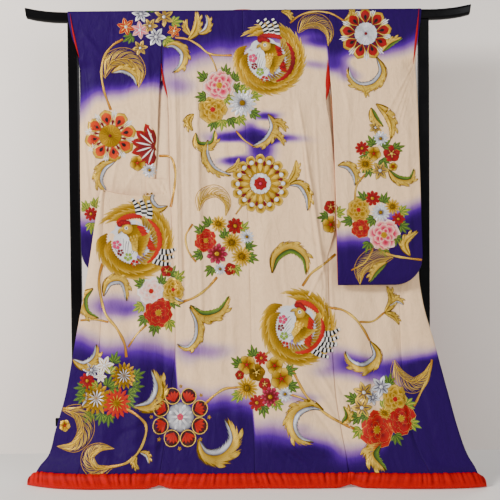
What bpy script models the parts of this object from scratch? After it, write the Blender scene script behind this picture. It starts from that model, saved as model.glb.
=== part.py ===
"""A lined wedding over-kimono with a padded hem, hung by its back on a lacquered kimono stand.

The rail of the stand runs through both sleeves. The back of the kimono hangs in front of the rail, towards -Y,
and its fronts hang behind the rail, then swing out past the side seams and fan out on each side. The padded
hem and the two feet stand on z = 0. +X is right as seen from the kimono's back, +Z is up, metres.
"""

import math

import bmesh
import bpy
import numpy as np

# Stand
RAIL_TOP = 1.742
RAIL_TALL = 0.040
RAIL_DEEP = 0.032
RAIL_HALF_LENGTH = 0.840
RAIL_CORNER = 0.010
RAIL_EDGE_STEPS = 4
RAIL_END_RISE = 0.018
RAIL_END_BEND = 0.15
POST_X = 0.661
POST_WIDE = 0.040
POST_DEEP = 0.030
FOOT_HALF_LENGTH = 0.170
FOOT_WIDE = 0.056
FOOT_TALL = 0.050
LOWER_RAIL_Z = 0.188
LOWER_RAIL_TALL = 0.030
LOWER_RAIL_DEEP = 0.020
LOWER_RAIL_HALF_LENGTH = 0.747
MID_RAIL_Z = 1.067
MID_RAIL_TALL = 0.024
MID_RAIL_DEEP = 0.016
FIT = 0.0003

# Cloth
CLOTH = 0.002
SEAM = 0.0006
ON_RAIL = 0.0014
LAPPED = 0.0027
CLOTH_HEM_Z = 0.0558
NECK_HALF = 0.086
NECK_X = -0.020
NECK_EDGE_Z = 1.708
COLLAR_WIDE = 0.055
COLLAR_THICK = 0.003
COLLAR_OVER = 0.0046
COLLAR_LAPPED = 0.0031
NECK_CENTRE_Z = 1.675
SHOULDER_SEAM_Z = 1.655
CUFF_LOW_Z = 1.552
FRONT_ROWS = 40
OVERLAP_POINT = 0.0122
OVERLAP_POINT_GAP = 0.003
SHOULDER_Z = 1.700

# Padded hem
ROLL_TALL = 0.0550
ROLL_HALF_DEEP = 0.0240
HEM_REACH = 0.3012
NOTCH_LEFT_X = -0.3300
NOTCH_RIGHT_X = 0.3500
# How full the roll is at a notch and at its tips
NOTCH = 0.45
TIP = 0.06

# The stand's plane lies behind the middle of the part, because the hem reaches further forward than the feet
# reach back.
STAND_Y = (HEM_REACH - FOOT_HALF_LENGTH) / 2

# Padded hem, along its length: x, depth of its middle in front of the stand's plane
HEM_LINE = [
    (-0.815, 0.186),
    (-0.760, 0.212),
    (-0.690, 0.236),
    (-0.560, 0.252),
    (-0.330, 0.250),
    (-0.150, 0.256),
    (0.010, 0.254),
    (0.180, 0.260),
    (0.350, 0.258),
    (0.500, 0.272),
    (0.630, 0.278),
    (0.760, 0.272),
    (0.832, 0.258),
]

# Back, from the hem up: z, depth in front of the stand's plane, x of the left side seam, of the spine and of
# the right side seam
BACK = [
    (0.0558, 0.252, -0.327, 0.011, 0.342),
    (0.1100, 0.228, -0.319, 0.010, 0.336),
    (0.1960, 0.193, -0.307, 0.008, 0.322),
    (0.3320, 0.143, -0.293, 0.005, 0.306),
    (0.4810, 0.102, -0.279, 0.002, 0.300),
    (0.6570, 0.070, -0.281, 0.000, 0.292),
    (0.8100, 0.052, -0.288, -0.003, 0.291),
    (0.8600, 0.048, -0.290, -0.004, 0.305),
    (0.9200, 0.044, -0.292, -0.005, 0.320),
    (1.0900, 0.035, -0.297, -0.008, 0.323),
    (1.2180, 0.031, -0.299, -0.011, 0.315),
    (1.3100, 0.028, -0.300, -0.012, 0.305),
    (1.4170, 0.024, -0.304, -0.014, 0.290),
    (1.5480, 0.0190, -0.3255, -0.017, 0.3035),
    (1.7000, 0.0174, -0.3255, -0.019, 0.3035),
]

# Largest folds of the back: x and z of the upper end, x and z of the lower end, half width, rise to the front
BACK_FOLDS = [
    (-0.262, 1.42, -0.262, 0.60, 0.018, 0.007),
    (-0.195, 1.30, -0.215, 0.30, 0.022, 0.006),
    (-0.110, 1.10, -0.130, 0.12, 0.040, 0.007),
    (0.060, 0.95, 0.085, 0.10, 0.045, 0.008),
    (0.190, 1.38, 0.270, 0.62, 0.024, 0.009),
    (0.215, 0.60, 0.160, 0.12, 0.040, 0.010),
    (0.090, 1.55, 0.130, 1.00, 0.035, 0.004),
]

# Left front, from the shoulder down: z at the side seam, then x, depth and z of its front seam. The last
# row is at the hem. Above the side slit the side edge hangs behind the rail.
FRONT_LEFT = [
    (1.654, -0.106, -0.0174, 1.654),
    (1.550, -0.116, -0.0190, 1.552),
    (1.417, -0.148, -0.0180, 1.420),
    (1.250, -0.200, -0.0020, 1.260),
    (1.130, -0.250, 0.0160, 1.150),
    (1.070, -0.300, 0.0210, 1.090),
    (1.040, -0.335, 0.0320, 1.056),
    (1.015, -0.420, 0.0560, 1.048),
    (0.985, -0.490, 0.0620, 1.056),
    (0.950, -0.536, 0.0640, 1.066),
    (0.880, -0.545, 0.0680, 0.960),
    (0.760, -0.548, 0.0760, 0.800),
    (0.620, -0.552, 0.0880, 0.640),
    (0.460, -0.560, 0.1080, 0.470),
    (0.320, -0.572, 0.1380, 0.325),
    (0.190, -0.586, 0.1780, 0.192),
    (0.110, -0.602, 0.2120, 0.111),
    (0.0558, -0.618, 0.2440, 0.0558),
]

# How far each front swells out past its side seam and back from it, and the heights between which it does
SWELL_LEFT = (0.080, 0.012, 1.020, 1.545)
SWELL_RIGHT = (0.060, 0.034, 1.180, 1.520)

# Left overlap strip, from its point down: x, depth and z of its front edge, one row for each of the last
# rows of the left front
OVERLAP_LEFT = [
    (-0.548, 0.0650, 1.069),
    (-0.570, 0.0690, 0.976),
    (-0.600, 0.0760, 0.790),
    (-0.627, 0.0860, 0.640),
    (-0.655, 0.1060, 0.475),
    (-0.682, 0.1320, 0.316),
    (-0.715, 0.1600, 0.190),
    (-0.735, 0.1750, 0.110),
    (-0.780, 0.2030, 0.0558),
]

# Right front, as the left one. It is pinched lower and passes behind the sleeve.
FRONT_RIGHT = [
    (1.654, 0.066, -0.0174, 1.654),
    (1.550, 0.078, -0.0190, 1.552),
    (1.417, 0.115, -0.0180, 1.420),
    (1.230, 0.180, -0.0020, 1.240),
    (1.050, 0.230, 0.0190, 1.080),
    (0.930, 0.288, 0.0210, 1.000),
    (0.880, 0.335, 0.0230, 0.965),
    (0.835, 0.400, 0.0240, 0.950),
    (0.805, 0.500, 0.0220, 1.000),
    (0.780, 0.6185, 0.0150, 1.0600),
    (0.740, 0.588, 0.0210, 0.900),
    (0.680, 0.572, 0.0340, 0.760),
    (0.590, 0.560, 0.0560, 0.640),
    (0.450, 0.556, 0.0960, 0.470),
    (0.320, 0.562, 0.1420, 0.325),
    (0.190, 0.576, 0.1980, 0.192),
    (0.110, 0.600, 0.2350, 0.111),
    (0.0558, 0.630, 0.2765, 0.0558),
]

# Right overlap strip, as the left one
OVERLAP_RIGHT = [
    (0.631, 0.0148, 1.068),
    (0.631, 0.0200, 0.900),
    (0.634, 0.0350, 0.750),
    (0.646, 0.0560, 0.640),
    (0.684, 0.0950, 0.480),
    (0.716, 0.1500, 0.325),
    (0.744, 0.2050, 0.190),
    (0.768, 0.2360, 0.111),
    (0.800, 0.2660, 0.0558),
]

# Sleeves, from the rail down: z, depth of the front layer, depth of the back layer, x of the body side and
# of the outer side
SLEEVE_LEFT = [
    (1.720, 0.0174, -0.0174, -0.3262, -0.678),
    (1.640, 0.0185, -0.0180, -0.3262, -0.661),
    (1.580, 0.0190, -0.0180, -0.3262, -0.6385),
    (1.540, 0.0200, -0.0175, -0.3280, -0.6375),
    (1.406, 0.0220, -0.0140, -0.338, -0.637),
    (1.230, 0.0240, -0.0020, -0.346, -0.6380),
    (1.087, 0.0250, 0.0112, -0.357, -0.6380),
    (0.950, 0.0260, 0.0120, -0.366, -0.6380),
    (0.840, 0.0260, 0.0120, -0.368, -0.6380),
    (0.740, 0.0260, 0.0125, -0.370, -0.6380),
]
SLEEVE_RIGHT = [
    (1.720, 0.0174, -0.0174, 0.3042, 0.652),
    (1.640, 0.0185, -0.0180, 0.3042, 0.640),
    (1.556, 0.0200, -0.0175, 0.3042, 0.630),
    (1.400, 0.0300, 0.0100, 0.313, 0.6350),
    (1.230, 0.0450, 0.0270, 0.318, 0.6370),
    (1.060, 0.0600, 0.0460, 0.321, 0.6390),
    (0.930, 0.0700, 0.0570, 0.323, 0.6410),
    (0.820, 0.0790, 0.0660, 0.324, 0.6425),
    (0.708, 0.0900, 0.0780, 0.325, 0.6425),
]
SLEEVE_CORNER = 0.105
SLEEVE_CLOSED = 0.0034

# Colours: red, green and blue in linear light, roughness, metallic
LACQUER = ("black lacquer", (0.010, 0.009, 0.010), 0.12, 0.0)
SILK = ("cream figured silk", (0.66, 0.56, 0.44), 0.45, 0.0)
COLLAR_SILK = ("collar silk", (0.60, 0.50, 0.40), 0.45, 0.0)
RED_SILK = ("padded red silk", (0.60, 0.025, 0.010), 0.50, 0.0)


def clear_scene():
    for thing in list(bpy.data.objects):
        bpy.data.objects.remove(thing)


def material(finish):
    name, colour, roughness, metallic = finish
    made = bpy.data.materials.get(name)
    if made is None:
        made = bpy.data.materials.new(name)
        made.use_nodes = True
        shader = made.node_tree.nodes["Principled BSDF"]
        shader.inputs["Base Color"].default_value = (*colour, 1.0)
        shader.inputs["Roughness"].default_value = roughness
        shader.inputs["Metallic"].default_value = metallic
    return made


def add_solid(name, points, faces, finish):
    """Makes one closed object. Points are given about the stand's plane and moved to the part's own origin."""
    mesh = bpy.data.meshes.new(name)
    moved = [(x, y + STAND_Y, z) for x, y, z in points]
    mesh.from_pydata(moved, [], [tuple(face) for face in faces])
    shape = bmesh.new()
    shape.from_mesh(mesh)
    bmesh.ops.triangulate(shape, faces=shape.faces)
    bmesh.ops.recalc_face_normals(shape, faces=shape.faces)
    shape.to_mesh(mesh)
    shape.free()
    mesh.materials.append(material(finish))
    mesh.shade_smooth()
    mesh.set_sharp_from_angle(angle=math.radians(40))
    made = bpy.data.objects.new(name, mesh)
    bpy.context.scene.collection.objects.link(made)
    return made


def smooth_step(low, high, value):
    t = np.clip((np.asarray(value, float) - low) / (high - low), 0.0, 1.0)
    return t * t * (3.0 - 2.0 * t)


def resample(table, count):
    """Reads a table of rows at evenly spaced places on the smooth curve through them."""
    rows = np.array(table, float)
    steps = np.linalg.norm(np.diff(rows, axis=0), axis=1)
    along = np.concatenate([[0.0], np.cumsum(steps)])
    return np.array([curve_at(along, rows, place) for place in np.linspace(0.0, along[-1], count)])


def curve_at(along, rows, place):
    """A cubic through the rows whose slopes are limited, so that it never runs past its neighbours."""
    k = int(np.clip(np.searchsorted(along, place, side="right") - 1, 0, len(along) - 2))
    gaps = np.diff(along)
    slopes = np.diff(rows, axis=0) / gaps[:, None]

    def tangent(i):
        if i == 0 or i == len(rows) - 1:
            return slopes[0 if i == 0 else -1]
        before, after = slopes[i - 1], slopes[i]
        both = 2.0 * before * after / np.where(np.abs(before + after) < 1e-12, 1.0, before + after)
        return np.where(before * after > 0.0, both, 0.0)

    t = (place - along[k]) / gaps[k]
    a, b = rows[k], rows[k + 1]
    m, n = tangent(k) * gaps[k], tangent(k + 1) * gaps[k]
    return (
        a * (2 * t**3 - 3 * t**2 + 1)
        + m * (t**3 - 2 * t**2 + t)
        + b * (3 * t**2 - 2 * t**3)
        + n * (t**3 - t**2)
    )


def column(table, key, value, wanted):
    """The wanted column of a table, read smoothly at a value of its key column."""
    rows = np.array(table, float)
    rows = rows[np.argsort(rows[:, key])]
    low, high = rows[0, key], rows[-1, key]
    return curve_at(rows[:, key], rows, min(max(value, low), high))[wanted]


def over_rail(distance, gap):
    """Depth and height of cloth lying on the rail, a distance past the middle of its top, to the back."""
    side = -1.0 if distance < 0 else 1.0
    flat = RAIL_DEEP / 2 - RAIL_CORNER
    radius = RAIL_CORNER + gap
    turn = radius * math.pi / 2
    run = abs(distance)
    if run <= flat:
        return distance, RAIL_TOP + gap
    if run <= flat + turn:
        angle = (run - flat) / radius
        return side * (flat + radius * math.sin(angle)), RAIL_TOP - RAIL_CORNER + radius * math.cos(angle)
    return side * (flat + radius), RAIL_TOP - RAIL_CORNER - (run - flat - turn)


def rail_run(height, gap):
    """How far past the middle of the rail's top cloth reaches when it hangs down to a height."""
    flat = RAIL_DEEP / 2 - RAIL_CORNER
    return flat + (RAIL_CORNER + gap) * math.pi / 2 + RAIL_TOP - RAIL_CORNER - height


def rail_runs(gap):
    """Places along cloth that lies on the rail: both rounded edges of the rail's top, front edge first."""
    flat = RAIL_DEEP / 2 - RAIL_CORNER
    turn = (RAIL_CORNER + gap) * math.pi / 2
    front = [-(flat + turn * (1 - k / RAIL_EDGE_STEPS)) for k in range(RAIL_EDGE_STEPS + 1)]
    return front + [-run for run in reversed(front)]


def sheet(name, grid, thick, finish):
    """A closed wall of even thickness whose middle is a grid of points."""
    grid = np.array(grid, float)
    rows, columns = grid.shape[:2]
    along = np.gradient(grid, axis=0)
    across = np.gradient(grid, axis=1)
    normal = np.cross(along, across)
    normal /= np.linalg.norm(normal, axis=2)[..., None]
    points = np.concatenate([grid + normal * thick / 2, grid - normal * thick / 2]).reshape(-1, 3)
    other = rows * columns

    def at(i, j):
        return i * columns + j

    faces = []
    for i in range(rows - 1):
        for j in range(columns - 1):
            quad = (at(i, j), at(i, j + 1), at(i + 1, j + 1), at(i + 1, j))
            faces.append(quad)
            faces.append(tuple(other + k for k in reversed(quad)))
    rim = [at(0, j) for j in range(columns)]
    rim += [at(i, columns - 1) for i in range(1, rows)]
    rim += [at(rows - 1, j) for j in range(columns - 2, -1, -1)]
    rim += [at(i, 0) for i in range(rows - 2, 0, -1)]
    for here, there in zip(rim, rim[1:] + rim[:1]):
        faces.append((there, here, other + here, other + there))
    return add_solid(name, points, faces, finish)


def tube_of_rings(name, rings, finish, ends="caps"):
    """Rings of points joined in order. Ends are capped, or a tube in a tube is joined at both ends."""
    rings = np.array(rings, float)
    count, size = rings.shape[:2]
    faces = []
    last = count if ends == "joined" else count - 1
    for i in range(last):
        for j in range(size):
            a, b = i * size + j, i * size + (j + 1) % size
            c, d = (i + 1) % count * size + (j + 1) % size, (i + 1) % count * size + j
            faces.append((a, b, c, d))
    if ends == "caps":
        faces.append(tuple(reversed(range(size))))
        faces.append(tuple((count - 1) * size + j for j in range(size)))
    return add_solid(name, rings.reshape(-1, 3), faces, finish)


def block(name, outline, low_x, high_x, finish):
    """An outline in depth and height, drawn out along x."""
    rings = [[(x, y, z) for y, z in outline] for x in (low_x, high_x)]
    return tube_of_rings(name, rings, finish)


def rounded_outline(half_deep, low, high, corner, steps=4):
    outline = []
    for centre_y, centre_z, start in (
        (half_deep - corner, high - corner, 0),
        (-half_deep + corner, high - corner, 90),
        (-half_deep + corner, low + corner, 180),
        (half_deep - corner, low + corner, 270),
    ):
        for k in range(steps):
            angle = math.radians(start + 90 * k / (steps - 1))
            outline.append((centre_y + corner * math.cos(angle), centre_z + corner * math.sin(angle)))
    return outline


def top_rail():
    outline = rounded_outline(RAIL_DEEP / 2, RAIL_TOP - RAIL_TALL, RAIL_TOP, RAIL_CORNER)
    bend_start = RAIL_HALF_LENGTH - RAIL_END_BEND
    places = [k / 4 for k in range(5)]
    left = [-(bend_start + RAIL_END_BEND * k) for k in reversed(places)]
    stations = left + [-x for x in reversed(left)]
    rings = []
    for x in stations:
        share = max(0.0, (abs(x) - bend_start) / RAIL_END_BEND)
        rise = RAIL_END_RISE * share**2
        lean = 0.006 if share > 0.99 else 0.0
        ring = []
        for y, z in outline:
            up = (z - (RAIL_TOP - RAIL_TALL)) / RAIL_TALL
            ring.append((x - math.copysign(lean * (1.0 - up), x), y, z + rise))
        rings.append(ring)
    return tube_of_rings("top_rail", rings, LACQUER)


def foot(name, x):
    """A low block from front to back with a stepped, rounded top at each end."""
    half, tall = FOOT_HALF_LENGTH, FOOT_TALL
    side = [(half, 0.0), (half, 0.014), (half - 0.006, 0.024), (half - 0.030, 0.030), (half - 0.050, 0.034)]
    side += [(half - 0.065, 0.042), (half - 0.080, tall - FIT)]
    outline = side + [(-y, z) for y, z in reversed(side)]
    return block(name, outline, x - FOOT_WIDE / 2, x + FOOT_WIDE / 2, LACQUER)


def post(name, x):
    """A square post with a slot that the lower rail runs through."""
    half = POST_WIDE / 2
    low, high = FOOT_TALL, RAIL_TOP - RAIL_TALL - FIT
    outline = rounded_outline(POST_DEEP / 2, x - half, x + half, 0.004, steps=3)
    rings = [[(across, y, z) for y, across in outline] for z in (low, high)]
    made = tube_of_rings(name, rings, LACQUER)
    slot_deep, slot_tall = LOWER_RAIL_DEEP / 2 + FIT, LOWER_RAIL_TALL / 2 + FIT
    slot_outline = [
        (-slot_deep, LOWER_RAIL_Z - slot_tall),
        (slot_deep, LOWER_RAIL_Z - slot_tall),
        (slot_deep, LOWER_RAIL_Z + slot_tall),
        (-slot_deep, LOWER_RAIL_Z + slot_tall),
    ]
    cutter = block("slot_" + name, slot_outline, x - POST_WIDE, x + POST_WIDE, LACQUER)
    cutter.hide_render = True
    cutter.display_type = "WIRE"
    cut = made.modifiers.new("slot", "BOOLEAN")
    cut.operation = "DIFFERENCE"
    cut.solver = "EXACT"
    cut.object = cutter
    return made


def lower_rail():
    half = LOWER_RAIL_TALL / 2
    outline = rounded_outline(LOWER_RAIL_DEEP / 2, LOWER_RAIL_Z - half, LOWER_RAIL_Z + half, 0.004, steps=3)
    return block("lower_rail", outline, -LOWER_RAIL_HALF_LENGTH, LOWER_RAIL_HALF_LENGTH, LACQUER)


def mid_rail():
    """A thinner bar between the posts, behind the whole garment."""
    half = MID_RAIL_TALL / 2
    outline = rounded_outline(MID_RAIL_DEEP / 2, MID_RAIL_Z - half, MID_RAIL_Z + half, 0.003, steps=3)
    reach = POST_X - POST_WIDE / 2 - FIT
    return block("mid_rail", outline, -reach, reach, LACQUER)


def hem_depth(x):
    return column(HEM_LINE, 0, x, 1)


def back_depth(x, z):
    """Depth of the back's cloth in front of the stand's plane."""
    base = column(BACK, 0, z, 1)
    at_hem = smooth_step(0.45, CLOTH_HEM_Z, z)
    base += at_hem * (hem_depth(x) - BACK[0][1])
    free = smooth_step(CLOTH_HEM_Z, 0.16, z) * smooth_step(1.62, 1.45, z)
    side = min(abs(x - column(BACK, 0, z, 2)), abs(x - column(BACK, 0, z, 4)))
    free *= smooth_step(0.0, 0.03, side)
    for top_x, top_z, low_x, low_z, wide, rise in BACK_FOLDS:
        down = (top_z - z) / (top_z - low_z)
        if -0.15 < down < 1.15:
            middle = top_x + (low_x - top_x) * down
            ends = smooth_step(-0.15, 0.2, down) * smooth_step(1.15, 0.8, down)
            base += rise * free * ends * math.exp(-(((x - middle) / wide) ** 2))
    return base


def side_seam(side, z):
    """Where the back's side edge lies: x and depth."""
    x = column(BACK, 0, z, 2 if side < 0 else 4)
    return x, back_depth(x, z)


def back_panel(name, side, across=11, down=24):
    """From the hem up the front of the rail, over it, and a little way down behind it."""
    low_column, high_column = (2, 3) if side < 0 else (3, 4)
    spine_gap = SEAM if side > 0 else 0.0
    runs = rail_runs(ON_RAIL)
    grid = []
    for i in range(down + len(runs) + 1):
        z = CLOTH_HEM_Z + (SHOULDER_Z - CLOTH_HEM_Z) * min(i / (down - 1), 1.0)
        low, high = column(BACK, 0, z, low_column), column(BACK, 0, z, high_column)
        row = []
        for j in range(across):
            x = low + spine_gap + (high - low - spine_gap) * j / (across - 1)
            if i < down:
                row.append((x, -back_depth(x, z), z))
            elif i < down + len(runs):
                y, on_rail_z = over_rail(runs[i - down], ON_RAIL)
                row.append((x, y, on_rail_z))
            else:
                open_neck = smooth_step(NECK_HALF, NECK_HALF - 0.03, abs(x - NECK_X))
                end_z = SHOULDER_SEAM_Z + (NECK_EDGE_Z - SHOULDER_SEAM_Z) * open_neck
                row.append((x, RAIL_DEEP / 2 + ON_RAIL, end_z))
        grid.append(row)
    return sheet(name, grid, CLOTH, SILK)


def front_rows(side):
    """Rows of a front with its overlap, from the shoulder down: the points on its side seam, on the seam
    between the two, and on the overlap's free edge. Above the overlap's point the last two are the same.
    """
    fronts = FRONT_LEFT if side < 0 else FRONT_RIGHT
    edges = OVERLAP_LEFT if side < 0 else OVERLAP_RIGHT
    plain = len(fronts) - len(edges)
    table = [front + (front[1:] if k < plain else edges[k - plain]) for k, front in enumerate(fronts)]
    found = []
    for side_z, seam_x, seam_deep, seam_z, edge_x, edge_deep, edge_z in resample(table, FRONT_ROWS):
        x, deep = side_seam(side, side_z)
        hung_behind = smooth_step(1.430, 1.560, side_z)
        deep = (1 - hung_behind) * (deep - LAPPED) + hung_behind * -(RAIL_DEEP / 2 + ON_RAIL)
        points = ((x, -deep, side_z), (seam_x, -seam_deep, seam_z), (edge_x, -edge_deep, edge_z))
        found.append([np.array(point) for point in points])
    return found


def toward(start, end, distance):
    """The point a distance from start on the way to end."""
    way = end - start
    return start + way * distance / np.linalg.norm(way)


def front_panel(name, side, across=11):
    """From behind the rail down to the hem, drawn in at the pinch and fanned out below it. Between the side
    slit and the pinch it swells out past the side seam, into the gap beside the sleeve.
    """
    out, back, low_z, high_z = SWELL_LEFT if side < 0 else SWELL_RIGHT
    grid = []
    for seam, front, _ in front_rows(side):
        front = toward(front, seam, SEAM)
        z_mean = (seam[2] + front[2]) / 2
        free = smooth_step(0.8, 0.45, z_mean) * smooth_step(CLOTH_HEM_Z, 0.2, z_mean)
        row = []
        for j in range(across):
            u = j / (across - 1)
            point = seam + (front - seam) * u
            bow = 0.012 * math.sin(math.pi * u)
            wave = 0.006 * math.sin(math.pi * u) ** 2 * math.cos(5 * math.pi * u)
            point[1] -= (bow + wave) * free
            swollen = smooth_step(low_z, low_z + 0.10, seam[2]) * smooth_step(high_z, high_z - 0.12, seam[2])
            point[0] += side * out * swollen * math.sin(math.pi * u**0.6)
            point[1] += back * swollen * math.sin(math.pi * u**0.5)
            row.append(tuple(point))
        grid.append(row)
    return sheet(name, grid, CLOTH, SILK)


def overlap_panel(name, side, across=5):
    """The strip beyond a front, from its point at the tie down to the hem."""
    grid = []
    for _, seam, edge in front_rows(side):
        if np.linalg.norm(edge - seam) < OVERLAP_POINT:
            continue
        start = toward(seam, edge, SEAM if grid else OVERLAP_POINT_GAP)
        row = []
        for j in range(across):
            u = j / (across - 1)
            point = start + (edge - start) * u
            point[1] -= 0.006 * math.sin(math.pi * u) * smooth_step(CLOTH_HEM_Z, 0.2, seam[2])
            row.append(tuple(point))
        grid.append(row)
    return sheet(name, grid, CLOTH, SILK)


def collar_down(side, rows):
    """The collar's sewn and free edge at rows down a front's edge, from the neck to the pinch."""
    past_pinch = -0.300 if side < 0 else 0.275
    seam = [point for _, point, _ in front_rows(side)]
    seam = [point for point in seam if point[2] < NECK_CENTRE_Z - 0.02 and side * (point[0] - past_pinch) < 0]
    band = []
    for point in resample(seam, rows):
        wide = COLLAR_WIDE * (0.6 + 0.4 * smooth_step(1.0, 1.3, point[2]))
        start = point + np.array([-side * SEAM * 2, COLLAR_LAPPED, 0.0])
        band.append((start, start + np.array([-side * wide, 0.004, 0.0])))
    return band


def collar_band(down=14, round_neck=15, across=8):
    """A band round the neck, lying over the rail's top and back, then down both front edges to the pinch."""
    outer = NECK_HALF - 2 * SEAM
    gap = ON_RAIL + COLLAR_OVER
    shares = [k / (across - 1) for k in range(across)]

    def straight(pair):
        start, end = pair
        return [tuple(start + (end - start) * share) for share in shares]

    grid = [straight(pair) for pair in reversed(collar_down(-1, down))]
    for k in range(round_neck):
        angle = math.pi * (1 - k / (round_neck - 1))
        row = []
        for share in shares:
            radius = outer - COLLAR_WIDE * share
            y, z = over_rail(rail_run(NECK_CENTRE_Z + radius * math.sin(angle), gap), gap)
            row.append((NECK_X + radius * math.cos(angle), y, z))
        grid.append(row)
    grid += [straight(pair) for pair in collar_down(1, down)]
    return sheet("collar", grid, COLLAR_THICK, COLLAR_SILK)


def sleeve_ring(side, u, layer_rows):
    """One closed loop of a sleeve in depth and height, from the bottom up its front and down its back."""
    table = SLEEVE_LEFT if side < 0 else SLEEVE_RIGHT
    bottom = table[-1][0]
    from_corner = (1.0 - u) * abs(table[-1][4] - table[-1][3])
    if from_corner < SLEEVE_CORNER:
        bottom += SLEEVE_CORNER - math.sqrt(SLEEVE_CORNER**2 - (SLEEVE_CORNER - from_corner) ** 2)
    shut = smooth_step(0.80, 1.0, u)
    loop = []

    def layer(z, which):
        front, back = column(table, 0, z, 1), column(table, 0, z, 2)
        middle, half = (front + back) / 2, (front - back) / 2
        closed = shut * smooth_step(CUFF_LOW_Z + 0.010, CUFF_LOW_Z - 0.025, z)
        half += (SLEEVE_CLOSED / 2 - half) * closed
        low = smooth_step(bottom, bottom + 0.03, z)
        half = SLEEVE_CLOSED / 2 + (half - SLEEVE_CLOSED / 2) * low
        x = column(table, 0, z, 3) + (column(table, 0, z, 4) - column(table, 0, z, 3)) * u
        return (x, -(middle + half * which), z)

    top = SHOULDER_Z
    heights = [bottom + 0.003 + (top - bottom - 0.003) * (k / (layer_rows - 1)) for k in range(layer_rows)]
    loop += [layer(z, 1) for z in heights]
    top_x = table[0][3] + (table[0][4] - table[0][3]) * u
    loop += [(top_x, *over_rail(run, ON_RAIL)) for run in rail_runs(ON_RAIL)]
    loop += [layer(z, -1) for z in reversed(heights)]
    x, y, _ = layer(bottom, 0)
    loop.append((x, y, bottom))
    return np.array(loop)


def offset_ring(ring, distance):
    """Moves a closed loop outwards in its own plane of depth and height."""
    after = np.roll(ring, -1, axis=0)
    before = np.roll(ring, 1, axis=0)
    tangent = (after - before)[:, 1:]
    tangent /= np.linalg.norm(tangent, axis=1)[:, None]
    out = np.stack([-tangent[:, 1], tangent[:, 0]], axis=1)
    moved = ring.copy()
    moved[:, 1:] += out * distance
    return moved


def sleeve(name, side, across=10, layer_rows=18):
    """A flat tube round the rail: the outer skin from the body side out, then the inner skin back."""
    places = [k / (across - 1) for k in range(across - 1)] + [0.95, 1.0]
    loops = [sleeve_ring(side, u, layer_rows) for u in sorted(places)]
    outer = [offset_ring(ring, CLOTH / 2) for ring in loops]
    inner = [offset_ring(ring, -CLOTH / 2) for ring in loops]
    return tube_of_rings(name, outer + list(reversed(inner)), SILK, ends="joined")


def hem_roll(name, start, end, start_size, end_size, steps=20, sides=12):
    """A padded roll along the hem, flat where it stands. Sizes give how full each end is."""
    rings = []
    for k in range(steps):
        t = k / (steps - 1)
        x = start + (end - start) * t
        from_start, from_end = abs(x - start), abs(x - end)
        size = start_size + (1 - start_size) * smooth_step(0.0, 0.055, from_start) ** 0.6
        size = min(size, end_size + (1 - end_size) * smooth_step(0.0, 0.055, from_end) ** 0.6)
        at_tip = (start_size if from_start < from_end else end_size) < NOTCH
        tall = ROLL_TALL * (size if at_tip else 0.62 + 0.38 * size)
        middle = tall / 2 if at_tip else ROLL_TALL - tall / 2
        deep = ROLL_HALF_DEEP * size
        ring = []
        for s in range(sides):
            angle = 2 * math.pi * (s + 0.5) / sides
            flat = math.cos(math.pi / sides)
            z = middle + tall / 2 * math.sin(angle) / flat
            ring.append((x, -hem_depth(x) + deep * math.cos(angle), z))
        rings.append(ring)
    return tube_of_rings(name, rings, RED_SILK)


def build():
    clear_scene()
    top_rail()
    mid_rail()
    lower_rail()
    for name, side in (("left", -1), ("right", 1)):
        post("post_" + name, side * POST_X)
        foot("foot_" + name, side * POST_X)
        back_panel("back_" + name, side)
        front_panel("front_" + name, side)
        overlap_panel("overlap_" + name, side)
        sleeve("sleeve_" + name, side)
    collar_band()
    hem_roll("hem_left", HEM_LINE[0][0], NOTCH_LEFT_X - SEAM / 2, TIP, NOTCH)
    hem_roll("hem_back", NOTCH_LEFT_X + SEAM / 2, NOTCH_RIGHT_X - SEAM / 2, NOTCH, NOTCH)
    hem_roll("hem_right", NOTCH_RIGHT_X + SEAM / 2, HEM_LINE[-1][0], NOTCH, TIP)


build()
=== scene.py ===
"""The looks of a lined wedding over-kimono, hung by its back on a black lacquered stand.

Cream figured silk, dyed violet in soft clouds, with gold and coloured silk embroidery and a padded red hem.
Cloth is built about the stand's own plane, as the solids are, and moved to the part's origin when it becomes
a mesh. Depths are metres in front of that plane. Places named as seen are pixels of the 500 x 500 photograph,
and each is carried onto the cloth that is seen there.
"""

import math

import bmesh
import bpy
import numpy as np
from mathutils import Matrix, Vector


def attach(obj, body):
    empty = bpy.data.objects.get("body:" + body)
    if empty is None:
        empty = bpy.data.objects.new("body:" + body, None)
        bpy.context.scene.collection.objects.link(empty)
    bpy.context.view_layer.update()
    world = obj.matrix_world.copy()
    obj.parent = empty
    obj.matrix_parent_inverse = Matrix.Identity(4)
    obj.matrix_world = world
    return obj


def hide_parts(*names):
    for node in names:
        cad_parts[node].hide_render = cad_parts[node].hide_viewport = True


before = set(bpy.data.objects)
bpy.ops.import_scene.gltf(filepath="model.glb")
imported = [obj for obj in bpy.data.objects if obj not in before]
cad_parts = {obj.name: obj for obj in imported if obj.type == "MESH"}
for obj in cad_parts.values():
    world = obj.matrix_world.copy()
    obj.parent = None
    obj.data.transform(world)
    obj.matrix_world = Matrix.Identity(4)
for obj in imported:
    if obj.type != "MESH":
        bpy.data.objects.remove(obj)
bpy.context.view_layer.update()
BODY = "root"

# Stand
RAIL_TOP = 1.742
RAIL_DEEP = 0.032
RAIL_CORNER = 0.010
RAIL_EDGE_STEPS = 8
HEM_REACH = 0.3012
FOOT_HALF_LENGTH = 0.170
STAND_Y = (HEM_REACH - FOOT_HALF_LENGTH) / 2

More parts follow.
